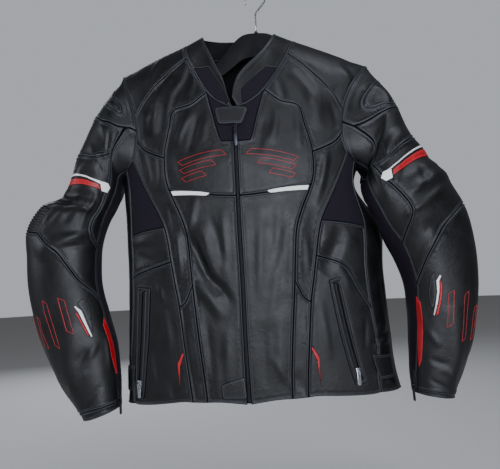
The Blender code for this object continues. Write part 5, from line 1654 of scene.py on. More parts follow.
def tube(path: Array, radius: float | Array, sides: int = 12) -> BMesh:
    """A round bar along a path in mm, with closed ends.

    Args:
        path: Places in mm.
        radius: Millimetres, one for all or one for each place.
        sides: Corners of its section.

    Returns:
        The bar, in metres.
    """
    line = np.gradient(path, axis=0)
    line /= np.linalg.norm(line, axis=1)[:, None]
    side = np.cross(line, np.array((0, 1, 0)) if np.all(np.abs(line[:, 1]) < 0.9) else np.array((1, 0, 0)))
    side /= np.linalg.norm(side, axis=1)[:, None]
    other = np.cross(line, side)
    angle = np.linspace(0, 2 * math.pi, sides, endpoint=False)
    ring = side[:, None] * np.cos(angle)[None, :, None] + other[:, None] * np.sin(angle)[None, :, None]
    return lay_grid(path[:, None] + ring * np.reshape(radius, (-1, 1, 1)), closed=True, capped=True)


class Stitching:
    """Rows of stitches, gathered by sub-assembly and made as one mesh each."""

    def __init__(self) -> None:
        """An empty set of rows."""
        self.rows: dict[str, list[Array]] = {}

    def follow(self, cloth: Cloth) -> None:
        """A row all round inside a piece's edges.

        Args:
            cloth: The piece.
        """
        loops = [cloth.outline, *cloth.holes]
        for k, loop in enumerate(loops):
            moved = inset(loop, STITCH_IN if k == 0 else -STITCH_IN * 0.6)
            good = edge_distance(moved, loops) > STITCH_IN * (0.95 if k == 0 else 0.5)
            runs: list[list[Array]] = [[]]
            for point, fits in zip(np.concatenate((moved, moved[:1])), np.append(good, good[0])):
                if fits:
                    runs[-1].append(point)
                elif runs[-1]:
                    runs.append([])
            for run in runs:
                if len(run) > 3:
                    self.along(cloth.form, np.array(run), cloth.lift - STITCH_SUNK, self.group(cloth.name))
        for line in cloth.across():
            self.along(cloth.form, beside(line, STITCH_IN), cloth.lift - STITCH_SUNK, self.group(cloth.name))

    @staticmethod
    def group(name: str) -> str:
        """Which sub-assembly a piece's stitches belong to.

        Args:
            name: The piece.

        Returns:
            The sub-assembly's name.
        """
        for word in ("sleeve", "forearm", "elbow"):
            if name.startswith(word):
                return "sleeve" + name[-2:]
        return "back" if name.startswith("back") else "front"

    def along(self, form: Form, path: Array, lift: float, group: str) -> None:
        """A row of stitches along a chart path.

        Args:
            form: What it lies on.
            path: Chart points of an open run.
            lift: Millimetres off the form.
            group: The sub-assembly.
        """
        stitches = resample(path, STITCH_PITCH)
        if len(stitches) < 3:
            return
        places = form.place(stitches, lift)
        out = form.normals(stitches[:, 0], stitches[:, 1])
        self.rows.setdefault(group, []).append(frames(places * MM, np.gradient(places, axis=0), out))

    def build(self) -> None:
        """The stitches of each sub-assembly."""
        bm = bmesh.new()
        bmesh.ops.create_icosphere(bm, subdivisions=1, radius=1)
        bmesh.ops.scale(bm, vec=Vector(STITCH_HALF) * MM, verts=bm.verts)
        template = to_mesh("stitch", bm)
        for group, rows in sorted(self.rows.items()):
            tile("stitching_" + group, template, np.concatenate(rows), Finish.THREAD)
        bpy.data.meshes.remove(template)


STITCHES = Stitching()
TUCK = 1.2             # mm that sleeves and collar reach under the body's edge


# Sub-assemblies.

@dataclass
class Fronts:
    """The pieces of both fronts, from the zip to the side seams and over the shoulders."""

    grid: float = 5.0

    def piece(self, name: str, side: Side, finish: Finish, *runs: Array) -> None:
        """One cut piece.

        Args:
            name: The piece, without its side.
            side: The wearer's side.
            finish: Its finish.
            *runs: Runs of chart points that meet end to end.
        """
        textile = finish is Finish.STRETCH
        Cloth(name + side.tag, OVER, join(*runs), finish, (name + side.tag,), grid=self.grid,
              edge=FLAT if textile else PUFF, stitched=not textile).build()

    def build(self, side: Side) -> None:
        """All pieces of one front.

        Args:
            side: The wearer's side.
        """
        s = SEAMS
        pocket_end = POCKET_SEAM[side][-1][1]
        pocket = s["pocket" + side.tag].run(side)

        def arm(start: float, stop: float) -> Array:
            """The armhole from one psi to another."""
            return armhole_chart(side, psi_steps(start, stop))

        leather = Finish.LEATHER
        self.piece("neck_inset", side, Finish.STRETCH, s["neckline"].run(side, -252, -221),
                   s["neck_inset"].run(side), s["zip"].run(side, -317, -252))
        self.piece("chest", side, leather, s["princess"].run(side, -221, -400), s["chest"].run(side),
                   s["zip"].run(side, -416, -317), s["neck_inset"].run(side)[::-1])
        self.piece("front", side, leather, s["chest"].run(side)[::-1], s["princess"].run(side, -400, -779),
                   s["hem"].run(side, -779, -785), s["zip"].run(side, -785, -416))
        self.piece("yoke", side, leather, s["neckline"].run(side, -221, -150), s["shoulder"].run(side),
                   arm(PSI_SHOULDER, PSI_YOKE), s["yoke"].run(side)[::-1],
                   s["princess"].run(side, -341, -221))
        self.piece("side_front", side, leather, s["yoke"].run(side), arm(PSI_YOKE, PSI_PIPING),
                   s["piping"].run(side, None, -610), s["dart"].run(side)[::-1],
                   s["princess"].run(side, -571, -341))
        self.piece("dart", side, leather, s["dart"].run(side), s["piping"].run(side, -610, -778),
                   s["hem"].run(side, -778, -779), s["princess"].run(side, -779, -571))
        self.piece("stretch_side", side, Finish.STRETCH, arm(PSI_PIPING, PSI_SIDE),
                   s["side"].run(side, None, -476), s["stretch_hem"].run(side)[::-1],
                   s["piping"].run(side, None, -465)[::-1])
        self.piece("flank", side, leather, s["stretch_hem"].run(side), s["side"].run(side, -476, pocket_end),
                   pocket[::-1], s["piping"].run(side, -528, -465))
        self.piece("pocket_panel", side, leather, pocket, s["side"].run(side, pocket_end, -780),
                   s["hem"].run(side, -780, -778), s["piping"].run(side, -778, -528))
        self.piece("shoulder", side, leather, s["shoulder"].run(side),
                   arm(PSI_SHOULDER, PSI_BACK_SHOULDER - 360), s["back_shoulder"].run(side)[::-1],
                   s["neckline"].run(side, -118, -150))


@dataclass
class Back:
    """The back and its yoke, from side seam to side seam."""

    grid: float = 5.5

    @staticmethod
    def across(rows: Rows, psi: float | None = None) -> Array:
        """A run across the back from the wearer's left to the right.

        Args:
            rows: Angle round the body and height, from the left to the centre.
            psi: Where on the armhole the run begins, if it does.

        Returns:
            Chart points.
        """
        chart = [(r * ROUND_MM, down_from_height(r, h)) for r, h in rows]
        chart += [((360 - r) * ROUND_MM, down_from_height(r, h)) for r, h in rows[-2::-1]]
        if psi is not None:
            end = armhole_chart(Side.LEFT, np.array([psi]), around=True)[0]
            chart = [tuple(end)] + chart + [(360 * ROUND_MM - end[0], end[1])]
        return smooth(np.array(chart))

    @staticmethod
    def past(run: Array) -> Array:
        """A run of the wearer's right, moved on past the back centre."""
        return run + np.array((360 * ROUND_MM, 0))

    def build(self) -> None:
        """Both pieces."""
        s = SEAMS
        seam = self.across(BACK_YOKE_SEAM, PSI_BACK_YOKE)
        right, left = Side.RIGHT, Side.LEFT

        def arm(side: Side, start: float, stop: float) -> Array:
            """A side's armhole from one psi to another."""
            run = armhole_chart(side, psi_steps(start, stop), around=True)
            return self.past(run) if side is right else run

        yoke = join(s["neckline"].run(left, -118, None, around=True),
                    self.past(s["neckline"].run(right, -118, None, around=True))[::-1],
                    self.past(s["back_shoulder"].run(right, around=True)),
                    arm(right, PSI_BACK_SHOULDER, PSI_BACK_YOKE), seam[::-1],
                    arm(left, PSI_BACK_YOKE, PSI_BACK_SHOULDER),
                    s["back_shoulder"].run(left, around=True)[::-1])
        Cloth("back_yoke", AROUND, yoke, Finish.LEATHER, ("back_yoke",), grid=self.grid).build()
        hem = self.across(BACK_HEM)
        back = join(seam, arm(right, PSI_BACK_YOKE, PSI_SIDE),
                    self.past(s["side"].run(right, None, -780, around=True)), hem[::-1],
                    s["side"].run(left, None, -780, around=True)[::-1], arm(left, PSI_SIDE, PSI_BACK_YOKE))
        princess = smooth(np.array([(r * ROUND_MM, down_from_height(r, h)) for r, h in BACK_PRINCESS]))
        mirrored = princess * np.array((-1, 1)) + np.array((360 * ROUND_MM, 0))
        Cloth("back", AROUND, back, Finish.LEATHER, ("back",), grid=self.grid,
              lines=(princess, mirrored, self.across(BACK_WAIST))).build()


@dataclass
class SleevePieces:
    """The cut pieces of the sleeves, and the ribbed stretch panel over each elbow."""

    grid: float = 5.0
    ribs: int = 10
    rib_height: float = 0.9
    rib_step: float = 0.8      # mm between the ribbed panel's rows
    rib_points: int = 60       # across each row
    rib_wall: float = 0.9
    rib_gather: float = 1.2    # cut width over the width that shows
    rib_across: int = 40       # points along the seam over and under the ribs
    rib_rise: int = 12         # points up the seam beside them
    wrist_row: float = 14.0    # mm from the cuff's edge to its row of stitches

    def build(self, side: Side) -> None:
        """All pieces of one sleeve.

        Args:
            side: The wearer's side.
        """
        form = SLEEVES[side]
        cuff = CUFF[side]
        cap = self.chart(CAP_SEAM[side])
        front = self.chart(SLEEVE_FRONT_SEAM[side])
        elbow = self.chart(ELBOW_SEAM[side])
        elbow_back = self.chart(ELBOW_BACK_SEAM[side])
        strip_front = self.chart(STRETCH_FRONT[side] + ((STRETCH_CUFF[0], cuff),))
        strip_back = self.chart(STRETCH_BACK[side] + ((STRETCH_CUFF[1], cuff),))
        around = strip_back - np.array((360 * PSI_MM, 0))
        back_seam = self.chart(SLEEVE_BACK_SEAM)
        joint = self.row(strip_front, front[-1])
        low_joint = self.row(strip_front, elbow[0])
        back_joint = self.row(around, elbow_back[-1])
        head_back = STRETCH_BACK[side][0][0]
        top, bottom = RIB_ALONG[side]
        psi_front, psi_back = RIB_PSI[side]
        ribs = np.linspace(psi_front, psi_back, self.rib_across) * PSI_MM
        rib_top = np.stack((ribs, np.full(self.rib_across, top)), axis=1)
        rib_bottom = np.stack((ribs, np.full(self.rib_across, bottom)), axis=1)
        rise = np.linspace(bottom, top, self.rib_rise)
        rib_front = np.stack((np.full(self.rib_rise, ribs[0]), rise), axis=1)
        rib_back = np.stack((np.full(self.rib_rise, ribs[-1]), rise[::-1]), axis=1)
        wrist = smooth(self.chart(((STRETCH_CUFF[0], cuff), (100, cuff), (0, cuff), (-80, cuff),
                                   (STRETCH_CUFF[1] - 360, cuff))))

        def head(start: float, stop: float) -> Array:
            """The sleeve's head from one psi to another, tucked under the body's edge."""
            psi = psi_steps(start, stop)
            return np.stack((psi * PSI_MM, np.full(len(psi), -TUCK)), axis=1)

        drawn = {"sleeve_cap": (smooth(self.chart(CAP_PATCH[side])),),
                 "sleeve_upper": (smooth(self.chart(CROSS_SEAM[side])),),
                 "forearm": (wrist - np.array((0, self.wrist_row)),)}

        def piece(name: str, finish: Finish, *runs: Array) -> None:
            """One cut piece between runs that meet end to end.

            Args:
                name: The piece, without its side.
                finish: Its finish.
                *runs: The lines round it, in order.
            """
            textile = finish is Finish.STRETCH
            Cloth(name + side.tag, form, join(*runs), finish, (name + side.tag,), grid=self.grid,
                  edge=FLAT if textile else PUFF, stitched=not textile, lines=drawn.get(name, ())).build()

        piece("sleeve_cap", Finish.LEATHER, head(-80, 80), smooth(front, 0, 1), smooth(cap),
              smooth(back_seam)[::-1])
        piece("sleeve_upper", Finish.LEATHER, smooth(cap)[::-1], smooth(front, 1),
              smooth(strip_front, joint, low_joint), smooth(elbow), rib_front, rib_top, rib_back,
              smooth(elbow_back), smooth(around, back_joint, 0), head(head_back - 360, -80),
              smooth(back_seam))
        piece("sleeve_under", Finish.LEATHER, head(80, 150), smooth(strip_front, 0, joint),
              smooth(front)[::-1])
        piece("sleeve_stretch", Finish.STRETCH, head(150, head_back), smooth(strip_back),
              smooth(self.chart(((STRETCH_CUFF[1], cuff), (STRETCH_CUFF[0], cuff)))),
              smooth(strip_front)[::-1])
        piece("forearm", Finish.LEATHER, smooth(strip_front, low_joint), wrist,
              smooth(around, back_joint)[::-1], smooth(elbow_back)[::-1], rib_bottom[::-1],
              smooth(elbow)[::-1])
        self.rib_panel(side)

    @staticmethod
    def chart(rows: Rows) -> Array:
        """Chart places of (psi, along) rows."""
        return np.array(rows, float) * np.array((PSI_MM, 1))

    @staticmethod
    def row(seam: Array, place: Array) -> int:
        """Which row of a seam is a given place."""
        return int(np.argmin(np.abs(seam[:, 1] - place[1])))

    def rib_panel(self, side: Side) -> None:
        """The accordion panel: soft leather ribs that run round the elbow.

        Args:
            side: The wearer's side.
        """
        form = SLEEVES[side]
        top, bottom = RIB_ALONG[side]
        front, back = RIB_PSI[side]
        rows = round((bottom - top) / self.rib_step)
        share = np.linspace(0, 1, rows + 1)
        psi = np.linspace(front, back, self.rib_points) * PSI_MM
        ends = np.clip(np.minimum(np.arange(self.rib_points), np.arange(self.rib_points)[::-1]) / 3, 0, 1)
        wave = np.abs(np.sin(math.pi * self.ribs * share)) ** 0.8
        points = []
        for f, height in zip(share, wave):
            chart = np.stack((psi, np.full(self.rib_points, top + (bottom - top) * f)), axis=1)
            points.append(form.place(chart, -1.0 + (self.rib_height + 0.6) * height * ends))
        bm = lay_grid(np.array(points))
        for face in bm.faces:
            face.normal_update()
        middle = bm.faces[len(bm.faces) // 2]
        chart = np.array(((psi[self.rib_points // 2], (top + bottom) / 2),))
        out = Vector(form.normals(chart[:, 0], chart[:, 1])[0])
        if middle.normal.dot(out) < 0:
            bmesh.ops.reverse_faces(bm, faces=bm.faces)
        name = "elbow_ribs" + side.tag
        mesh = to_mesh(name, bm)
        obj = make_object(name, mesh, [Finish.LEATHER, Finish.LINING], nodes=(name,))
        shell = obj.modifiers.new("thickness", "SOLIDIFY")
        shell.thickness = self.rib_wall * MM
        shell.offset = -1
        shell.material_offset = 1


@dataclass
class CollarPieces:
    """Stand collar with its stretch insets."""

    inset_r: Rows = ((-230, 2.5), (-262, 25), (-305, 26), (-341, 28), (-339, 5), (-312, 2.5))
    inset_l: Rows = ((238, 2.5), (255, 17), (321, 23), (336, 6), (331, 2.5), (286, 2))
    around: int = 110          # points along each edge
    up: int = 7                # points up each end, between the edges

    def build(self) -> None:
        """The collar and both insets."""
        half = COLLAR.half - 0.4
        u = np.linspace(-half, half, self.around)
        low = np.stack((u, np.full(self.around, -TUCK)), axis=1)
        high = np.stack((u[::-1], np.full(self.around, COLLAR_RISE)), axis=1)
        end = np.linspace(-TUCK, COLLAR_RISE, self.up + 2)[1:-1]
        right = np.stack((np.full(self.up, half), end), axis=1)
        left = np.stack((np.full(self.up, -half), end[::-1]), axis=1)
        outline = np.concatenate((low, right, high, left))
        Cloth("collar", COLLAR, outline, Finish.LEATHER, ("collar",), grid=4.0, thick=2.0).build()
        for side in Side:
            rows = np.array(self.inset_r if side is Side.RIGHT else self.inset_l, float)
            Cloth("collar_inset" + side.tag, COLLAR, corners(rows, rounding=2), Finish.STRETCH,
                  ("collar_inset" + side.tag,), grid=4.0, rings=(1.0,), edge=PLAIN, lift=1.5, thick=0.9,
                  lined=False, stitched=False).build()
            STITCHES.along(COLLAR, there_and_back(corners(inset(rows, -1.6), rounding=2)), 0.9, "front")


@dataclass
class Trims:
    """Tabs, straps, strips and chevrons that are sewn on the body."""

    def patch(self, name: str, rows: Array, finish: Finish, lift: float, thick: float,
              rounding: float = 2.0, nodes: tuple[str, ...] | None = None, form: Form = OVER,
              stitched: bool = False) -> None:
        """One flat piece on a form.

        Args:
            name: The piece.
            rows: Its corners in the chart.
            finish: Its finish.
            lift: Millimetres off the form.
            thick: Its thickness in mm.
            rounding: Millimetres cut off each corner.
            nodes: CAD nodes that it stands for: its own name where None.
            form: What it lies on.
            stitched: Whether a row of stitches follows its edge.
        """
        Cloth(name, form, corners(rows, rounding=rounding), finish, (name,) if nodes is None else nodes,
              grid=4.0, rings=(0.8, 2.2), edge=PLAIN, lift=lift, thick=thick, lined=False,
              stitched=stitched).build()

    def build(self) -> None:
        """All of them."""
        self.patch("collar_tab", to_over(COLLAR_TAB), Finish.TAB, 3.6, 1.9, 4.0, stitched=True)
        self.patch("hem_tab", to_over(HEM_TAB), Finish.LEATHER, 2.2, 1.7, 3.0, stitched=True)
        for side in Side:
            s = side.value
            self.patch("chest_strip" + side.tag, to_over(CHEST_STRIP, s), Finish.WHITE, 1.1, 0.8, 1.0)
            self.patch("chevron" + side.tag, to_over(CHEVRON, s), Finish.RED, 1.1, 0.8, 0.6)
            self.patch("side_strap" + side.tag, to_over(SIDE_STRAP, s), Finish.TAB, 2.4, 1.9, 3.0,
                       stitched=True)


@dataclass
class OutlinedBars:
    """Slanted bars drawn in outline with a satin stitch of red thread: a plain design of this library."""

    thread: float = 1.1
    thick: float = 0.7
    #                across down  long  high  of the bars' middles, from the design's middle
    chest: Rows = ((0, -20, 84, 10), (8, -4, 62, 10), (16, 12, 40, 10))
    arm: Rows = ((-13, -32, 62, 8), (0, -4, 84, 9), (13, 24, 56, 8), (2, 58, 40, 8))
    slant: float = 0.42
    chest_at: tuple[float, float] = (15.5, -362)      # round, height
    arm_at: tuple[float, float] = (66, 470)           # psi, along

    def bar(self, form: Form, centre: tuple[float, float], row: Sequence[float], turn: float,
            mirror: int) -> BMesh:
        """One bar's outline as a ribbon.

        Args:
            form: What it is stitched on.
            centre: The design's middle in the chart.
            row: Across, down, length and height.
            turn: Degrees that the design is turned by.
            mirror: Which way the bars slant.

        Returns:
            The mesh.
        """
        across, down, long, high = row
        lean = self.slant * high
        box = np.array(((-long / 2 + lean, -high / 2), (long / 2 + lean, -high / 2),
                        (long / 2 - lean, high / 2), (-long / 2 - lean, high / 2)))
        box += np.array((across, down))
        angle = math.radians(turn)
        spin = np.array(((math.cos(angle), math.sin(angle)), (-math.sin(angle), math.cos(angle))))
        loop = corners(box * np.array((mirror, 1)) @ spin + np.array(centre), step=3.0, rounding=1.2)
        return lay_grid(strip_points(form, np.concatenate((loop, loop[:2])),
                                     round_profile(self.thread, self.thick, 0.15, 6)), closed=True,
                            capped=True)

    def build(self) -> None:
        """The designs on the chest and the forearms."""
        for side in Side:
            s = side.value
            chest = (s * self.chest_at[0] * ROUND_MM, down_from_height(*self.chest_at))
            bars = [self.bar(OVER, chest, row, 0, s) for row in self.chest]
            name = "chest_bars" + side.tag
            make_object(name, to_mesh(name, merge(*bars)), [Finish.RED_THREAD])
            arm = (self.arm_at[0] * PSI_MM, self.arm_at[1])
            bars = [self.bar(SLEEVES[side], arm, row, 90, 1) for row in self.arm]
            name = "arm_bars" + side.tag
            make_object(name, to_mesh(name, merge(*bars)), [Finish.RED_THREAD])
        line = strip_points(SLEEVES[Side.LEFT], resample(SleevePieces.chart(PLAIN_STRIP), 3.0),
                            round_profile(2.2, 0.8, 0.2, 8))
        make_object("arm_line_l", to_mesh("arm_line_l", lay_grid(line, closed=True, capped=True)),
                    [Finish.WHITE])


@dataclass(frozen=True)
class ZipSizes:
    """Sizes of one zip in mm."""

    tape: float
    tape_lift: float
    tape_thick: float
    chain_top: float
    slider_at: float       # from the lower end
    pull: float
    tooth: float = 2.5     # pitch of the teeth on one side


@dataclass
class Zips:
    """Closed zips: woven tapes, two rows of teeth, a slider with its bail and a pull on the bail."""

    slider_half: float = 4.6
    slider_long: float = 13.0
    slider_high: float = 2.2
    axle: float = 0.7
    clear: float = 0.5
    bail_wide: float = 1.8
    bail_leg: float = 1.4
    bail_thick: float = 1.0
    bail_radius: float = 0.62
    plate_half: float = 3.6    # half width of a pull
    plate_thick: float = 0.7   # half its thickness
    chamfer: float = 1.5

    def build(self, name: str, form: Form, path: Array, sizes: ZipSizes, bright: bool) -> None:
        """One zip with its slider and pull.

        Args:
            name: The CAD node.
            form: What it lies on.
            path: Its middle in the chart, from its upper to its lower end.
            sizes: Its sizes.
            bright: Whether its slider is plated bright.
        """
        path = resample(path, 3.0)
        half, low, high = sizes.tape, sizes.tape_lift, sizes.tape_lift + sizes.tape_thick
        profile = [(-half, low), (half, low), (half, high), (half * 0.5, high + 0.15), (1.6, high + 0.25),
                   (-1.6, high + 0.25), (-half * 0.5, high + 0.15), (-half, high)]
        tape = to_mesh(name, lay_grid(strip_points(form, path, profile), closed=True, capped=True))
        uv = tape.uv_layers.new(name="cut")
        for loop in tape.loops:
            place = tape.vertices[loop.vertex_index].co
            uv.uv[loop.index].vector = (place.x, place.z)
        make_object(name, tape, [Finish.TAPE], nodes=(name,))
        self.teeth(name + "_teeth", form, path, sizes)
        self.slider(name, form, path, sizes, Finish.BRIGHT if bright else Finish.PULL)

    def teeth(self, name: str, form: Form, path: Array, sizes: ZipSizes) -> None:
        """Two rows of interlocked teeth.

        Args:
            name: The row of teeth.
            form: What it lies on.
            path: Chart points of an open run.
            sizes: The zip's sizes.
        """
        bm = bmesh.new()
        bmesh.ops.create_cube(bm, size=1)
        height = sizes.chain_top - (sizes.tape_lift + sizes.tape_thick) + 0.15
        bmesh.ops.scale(bm, vec=Vector((1.15, 3.0, max(height, 0.8))) * MM, verts=bm.verts)
        bmesh.ops.bevel(bm, geom=bm.edges[:], offset=0.22 * MM, segments=1, profile=0.5, material=-1,
                        affect="EDGES")
        template = to_mesh("tooth", bm)
        rows = resample(path, sizes.tooth / 2)
        line = np.gradient(rows, axis=0)
        line /= np.linalg.norm(line, axis=1)[:, None]
        across = np.stack((-line[:, 1], line[:, 0]), axis=1)
        shift = np.where(np.arange(len(rows)) % 2, 1.0, -1.0)[:, None]
        chart = rows + across * shift
        places = form.place(chart, sizes.chain_top - max(height, 0.8) / 2)
        middle = form.place(rows, 0.0)
        tile(name, template, frames(places * MM, np.gradient(middle, axis=0),
                                    form.normals(chart[:, 0], chart[:, 1])), Finish.TEETH)
        bpy.data.meshes.remove(template)

    def slider(self, name: str, form: Form, path: Array, sizes: ZipSizes, finish: Finish) -> None:
        """The slider, its bail, and the pull, which rides on its own body.

        Args:
            name: The CAD node of the zip.
            form: What it lies on.
            path: Chart points of an open run.
            sizes: The zip's sizes.
            finish: Its finish.
        """
        steps = np.concatenate(([0], np.cumsum(np.linalg.norm(np.diff(path, axis=0), axis=1))))
        at = steps[-1] - sizes.slider_at
        place = np.array([[np.interp(at, steps, path[:, k]) for k in range(2)]])
        base = Vector(form.points(place[:, 0], place[:, 1])[0])
        out = Vector(form.normals(place[:, 0], place[:, 1])[0])
        side = Vector((0, 0, -1)).cross(out).normalized()
        down = out.cross(side).normalized()
        frame = Matrix((side, down, out)).transposed().to_4x4()
        top = sizes.chain_top + self.slider_high
        frame.translation = base
        body = self.wedge(top, sizes.chain_top)
        room = self.axle + self.clear
        arch = []
        reach = room + self.bail_leg / 2
        for k in range(13):
            angle = math.pi * k / 12
            arch.append((0, -math.cos(angle) * reach,
                         top + math.sin(angle) * (2 * room + self.bail_thick / 2)))
        arch = [(0, -reach, top - 0.6)] + arch + [(0, reach, top - 0.6)]
        bail = tube(np.array(arch), self.bail_radius, 8)
        for vert in bail.verts:
            vert.co.x *= 1.4
        whole = merge(body, bail)
        bmesh.ops.transform(whole, matrix=self.metres(frame), verts=whole.verts)
        make_object(name + "_slider", to_mesh(name + "_slider", whole), [finish])
        frame.translation = base + out * (top + room)
        self.pull(name.replace("zip", "pull"), frame, sizes.pull, finish)

    @staticmethod
    def metres(frame: Matrix) -> Matrix:
        """A frame in mm, for meshes that are in metres already.

        Args:
            frame: The frame.

        Returns:
            The frame, with its place in metres.
        """
        moved = frame.copy()
        moved.translation = frame.translation * MM
        return moved

    def wedge(self, top: float, chain: float) -> BMesh:
        """The slider's body: a shoulder that narrows downward, over and beside the chain.

        Args:
            top: Its top, off the form, in mm.
            chain: The chain's top.

        Returns:
            The mesh.
        """
        bm = bmesh.new()
        bmesh.ops.create_cube(bm, size=1)
        for vert in bm.verts:
            lower = vert.co.y > 0
            vert.co.x *= 2 * self.slider_half * (0.72 if lower else 1.0)
            vert.co.y *= self.slider_long
            vert.co.z = top if vert.co.z > 0 else chain + 0.1
        bmesh.ops.scale(bm, vec=Vector((MM, MM, MM)), verts=bm.verts)
        bmesh.ops.bevel(bm, geom=bm.edges[:], offset=0.7 * MM, segments=3, profile=0.5, material=-1,
                        affect="EDGES")
        return bm

    def pull(self, node: str, frame: Matrix, long: float, finish: Finish) -> None:
        """The pull: an axle under the bail, two arms beside it, and a flat plate below them.

        Args:
            node: The CAD node of the pull.
            frame: Across, down and outward at the place, in mm.
            long: The pull's length below its axle.
            finish: Its finish.
        """
        arm = self.bail_wide / 2 + self.clear
        half, thick, cut = self.plate_half, self.plate_thick, self.chamfer
        reach = self.axle + self.clear + self.bail_leg
        window = math.hypot(reach, self.axle + self.clear + self.bail_thick) + self.clear
        outline = np.array(((-half, -thick), (half, -thick), (half, long - cut), (half - cut, long),
                            (-half + cut, long), (-half, long - cut)))
        hole = np.array(((-arm, thick), (arm, thick), (arm, window), (-arm, window)))
        points = [Vector(p) for p in np.concatenate((outline, hole))]
        edges = [(i, (i + 1) % 6) for i in range(6)] + [(6 + i, 6 + (i + 1) % 4) for i in range(4)]
        verts, _, faces, _, _, _ = delaunay_2d_cdt(points, edges, [], 1, 1e-4)
        bm = bmesh.new()
        made = [bm.verts.new((v.x * MM, v.y * MM, -thick * MM)) for v in verts]
        for face in faces:
            centre = sum((verts[i] for i in face), Vector((0, 0))) / len(face)
            if not inside(np.array([centre]), hole)[0]:
                bm.faces.new([made[i] for i in face])
        raised = bmesh.ops.extrude_face_region(bm, geom=bm.faces[:])
        bmesh.ops.translate(bm, vec=(0, 0, 2 * thick * MM),
                            verts=[g for g in raised["geom"] if isinstance(g, bmesh.types.BMVert)])
        bmesh.ops.recalc_face_normals(bm, faces=bm.faces)
        bmesh.ops.dissolve_limit(bm, angle_limit=0.01, verts=bm.verts, edges=bm.edges)
        sharp = [e for e in bm.edges if e.calc_face_angle(0) > 0.5]
        bmesh.ops.bevel(bm, geom=sharp, offset=0.3 * MM, segments=2, profile=0.5, material=-1, affect="EDGES")
        bmesh.ops.transform(bm, matrix=self.metres(frame), verts=bm.verts)
        make_object(node + "_grip", to_mesh(node + "_grip", bm), [finish], node + "_body", (node,))


@dataclass
class ZipSet:
    """The jacket's five zips, with the welts round the pockets' slits."""

    slit_half: float = 6.0
    lip_at: float = 6.2
    front_ends: tuple[float, float] = (-254, -782)
    cuff_psi: float = 159.0
    front: ClassVar[ZipSizes] = ZipSizes(tape=12.0, tape_lift=-3.0, tape_thick=0.9, chain_top=1.0,
                                         slider_at=490.0, pull=36.0)
    pocket: ClassVar[dict[Side, ZipSizes]] = {
        side: ZipSizes(tape=5.5, tape_lift=0.35, tape_thick=0.6, chain_top=1.55, slider_at=at, pull=24.0)
        for side, at in ((Side.RIGHT, 11.08), (Side.LEFT, 10.92))}
    cuff: ClassVar[ZipSizes] = ZipSizes(tape=5.0, tape_lift=0.35, tape_thick=0.6, chain_top=1.55,
                                        slider_at=10.0, pull=22.0)

    def build(self) -> None:
        """All zips and welts."""
        zips = Zips()
        heights = np.linspace(*self.front_ends, 40)
        path = np.stack((np.zeros(40), [down_from_height(0, h) for h in heights]), axis=1)
        zips.build("front_zip", OVER, path, self.front, False)
        for side in Side:
            slit = smooth(to_over(POCKET_SLIT[side], side.value))
            line = np.gradient(slit, axis=0)
            line /= np.linalg.norm(line, axis=1)[:, None]
            across = np.stack((-line[:, 1], line[:, 0]), axis=1) * self.slit_half
            hole = np.concatenate((slit + across, (slit - across)[::-1]))
            Cloth("pocket_welt" + side.tag, OVER, corners(to_over(POCKET_WELT[side], side.value), rounding=4),
                  Finish.LEATHER, ("pocket_welt" + side.tag,), holes=(hole,), grid=4.0,
                  rings=(0.7, 1.6, 2.6, 3.6),
                  edge=((0, -1.8), (0.7, -0.5), (1.6, 0.5), (2.6, 0.4), (3.6, -0.5)),
                  lift=2.6, thick=1.9, lined=False).build()
            border = corners(inset(to_over(POCKET_WELT[side], side.value), -3.0), rounding=6)
            STITCHES.along(OVER, np.concatenate((border, border[:1])), -0.1, "front")
            lips = [lay_grid(strip_points(OVER, beside(resample(slit, 3.0), way * self.lip_at),
                                          round_profile(2.6, 2.6, 2.4)), closed=True, capped=True)
                    for way in (-1, 1)]
            make_object("pocket_lips" + side.tag, to_mesh("pocket_lips" + side.tag, merge(*lips)),
                        [Finish.LEATHER])
            zips.build("pocket_zip" + side.tag, OVER, slit[1:-1], self.pocket[side], True)
            cuff = np.stack((np.full(8, self.cuff_psi * PSI_MM), np.linspace(575, CUFF[side] - 3, 8)), axis=1)
            zips.build("cuff_zip" + side.tag, SLEEVES[side], cuff, self.cuff, False)


